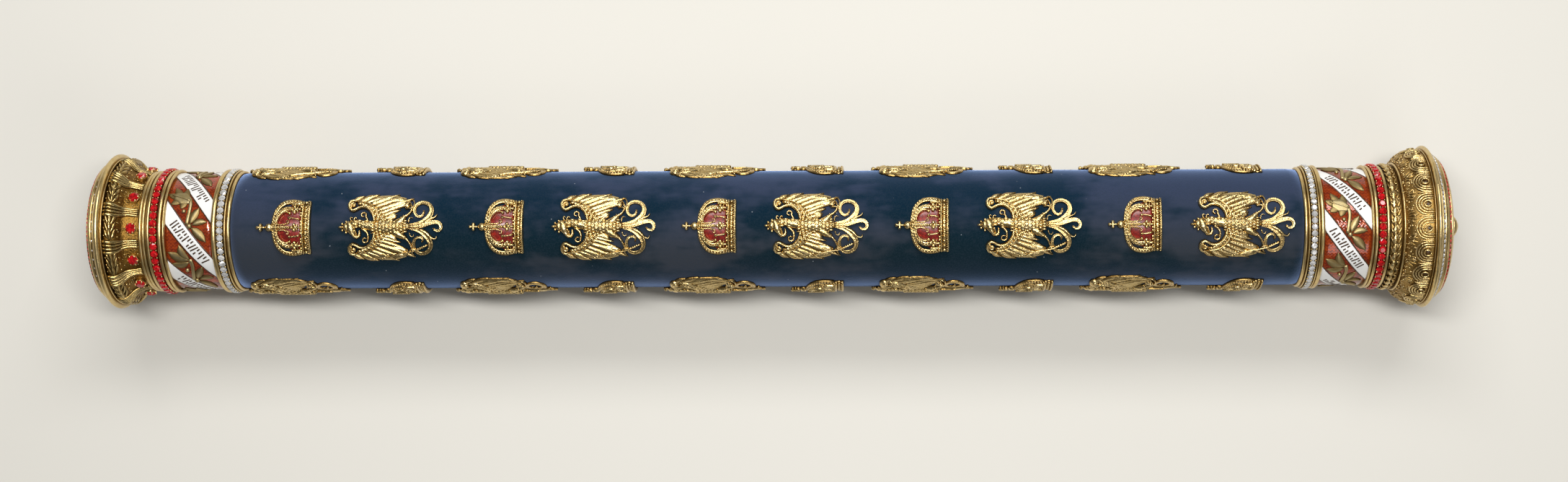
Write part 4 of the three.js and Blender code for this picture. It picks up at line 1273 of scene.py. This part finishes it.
# Each plate's profile as distance, radius and lift, then its rows of stones
end_plate("left", LEFT, [
    (-0.3, 23.7, 0.1), (-0.15, 24.3, 0.9), (0.1, 24.3, 0.7), (0.2, 23.9, 0.1), (0.7, 23.7, 0.1),
    (0.8, 24.0, 0.9), (1.3, 23.9, 0.9), (1.8, 23.5, 0.9), (1.95, 23.0, 0.2), (2.4, 22.5, 0.2),
    (2.5, 22.7, 0.9), (2.7, 22.3, 0.6),
], [
    ("end_diamonds_left", DIAMOND, "diamond", 0.45, 23.9, 46, 0.34, 25),
    ("end_rubies_left", RUBY, "ruby", 2.2, 22.8, 96, 0.5, 50),
])
end_plate("right", RIGHT, [
    (-0.3, 25.4, 0.1), (-0.15, 26.2, 0.9), (0.1, 26.0, 0.6), (0.2, 25.5, 0.1), (0.8, 24.9, 0.1),
    (0.95, 25.4, 0.9), (1.3, 25.2, 0.8), (1.4, 24.6, 0.0), (1.9, 24.4, 0.5), (2.2, 24.5, 0.9),
    (2.6, 24.1, 0.8), (2.7, 23.4, 0.1), (3.4, 22.8, 0.1), (3.5, 23.1, 0.9), (3.8, 22.7, 0.8),
    (4.2, 21.9, 0.6),
], [
    ("end_diamonds_right", DIAMOND, "diamond", 0.5, 25.45, 96, 0.76, 58),
    ("end_rubies_right", RUBY, "ruby", 3.05, 23.2, 88, 0.72, 60),
])


def end_boss():
    """The boss in the middle of the right end: a toothed foot and a ringed button with a ring of beads."""
    start, end = RIGHT.span("end_boss_right")
    start -= 0.6
    surfaces = Surfaces()
    profile = roll(start, start + 0.9, 4.4, 0.4) + roll(start + 0.95, start + 2.0, 3.6, 0.5)
    profile += roll(start + 2.1, end - 0.9, 2.9, 0.6)
    profile += [(end - 0.5, 2.4, 0.7), (end, 1.4, 0.9), (end, 0.3, 1.0)]
    turned(surfaces, profile, 48)
    face_stones(surfaces, start + 1.0, 4.2, 14, 0.62, 20, 6)
    face_stones(surfaces, start + 2.2, 3.2, 10, 0.55, 20, 6)
    make_piece("end_boss_gilt", surfaces, RIGHT.place, [GILT], "gilt", ["end_boss_right"])


end_boss()

# Floor, light and camera

CAMERA_HEIGHT = 756.7
PRINCIPAL_ALONG = 220.1
PHOTO_WIDTH = 2175
PHOTO_HEIGHT = 668
PRINCIPAL_X = 1223.0
PRINCIPAL_Y = 316.6
ROLL = -0.22 * RAD
LENS_MM = 36 * CAMERA_HEIGHT / (0.25 * PHOTO_WIDTH)


def floor():
    """A plain pale floor under the baton."""
    bpy.ops.mesh.primitive_plane_add(size=6, location=(0, 0, 0))
    plane = bpy.context.object
    plane.name = "floor"
    finish = Finish("floor_paper", Roughness=0.9)
    cloud = finish.noise(300, 2.0)
    finish.feed("Base Color", finish.mix(cloud, (0.71, 0.69, 0.635), (0.74, 0.72, 0.67)))
    finish.shader.inputs["Specular IOR Level"].default_value = 0.2
    plane.data.materials.append(finish.material)


def area_light(name, place, size, power, colour=(1, 1, 1)):
    """A soft box that faces the baton's middle."""
    light = bpy.data.lights.new(name, "AREA")
    light.shape = "RECTANGLE"
    light.size, light.size_y = size
    light.energy = power
    light.color = colour
    lamp = bpy.data.objects.new(name, light)
    lamp.location = place
    lamp.rotation_euler = (-lamp.location).to_track_quat("-Z", "Y").to_euler()
    bpy.context.scene.collection.objects.link(lamp)


def studio():
    """A large soft light from behind the baton, weaker ones from above and in front, and a dim grey room."""
    area_light("key", (0.08, 0.75, 0.85), (0.9, 0.3), 6.6, (1.0, 0.995, 0.98))
    area_light("fill", (0.5, -0.8, 0.9), (0.7, 0.35), 1.5, (1.0, 0.98, 0.95))
    area_light("top", (0.02, 0.12, 0.95), (0.7, 0.12), 7.0, (1.0, 0.995, 0.98))
    world = bpy.data.worlds.new("studio")
    bpy.context.scene.world = world
    world.use_nodes = True
    world.node_tree.nodes["Background"].inputs[0].default_value = (1.0, 0.99, 0.96, 1)
    world.node_tree.nodes["Background"].inputs[1].default_value = 0.11


def camera():
    """A camera that looks straight down, with the picture shifted to where the photograph has it."""
    data = bpy.data.cameras.new("camera")
    data.lens = LENS_MM
    data.sensor_width = 36
    data.shift_x = (PHOTO_WIDTH / 2 - PRINCIPAL_X) / PHOTO_WIDTH
    data.shift_y = (PRINCIPAL_Y - PHOTO_HEIGHT / 2) / PHOTO_WIDTH
    data.clip_start = 0.01
    eye = bpy.data.objects.new("camera", data)
    under = VELVET_START + PRINCIPAL_ALONG * ALONG
    eye.location = (under + np.array([0, 0, CAMERA_HEIGHT])) * MM
    eye.rotation_euler = (0, 0, ROLL)
    bpy.context.scene.collection.objects.link(eye)
    bpy.context.scene.camera = eye


floor()
studio()
camera()
bpy.context.scene.view_settings.view_transform = "Standard"
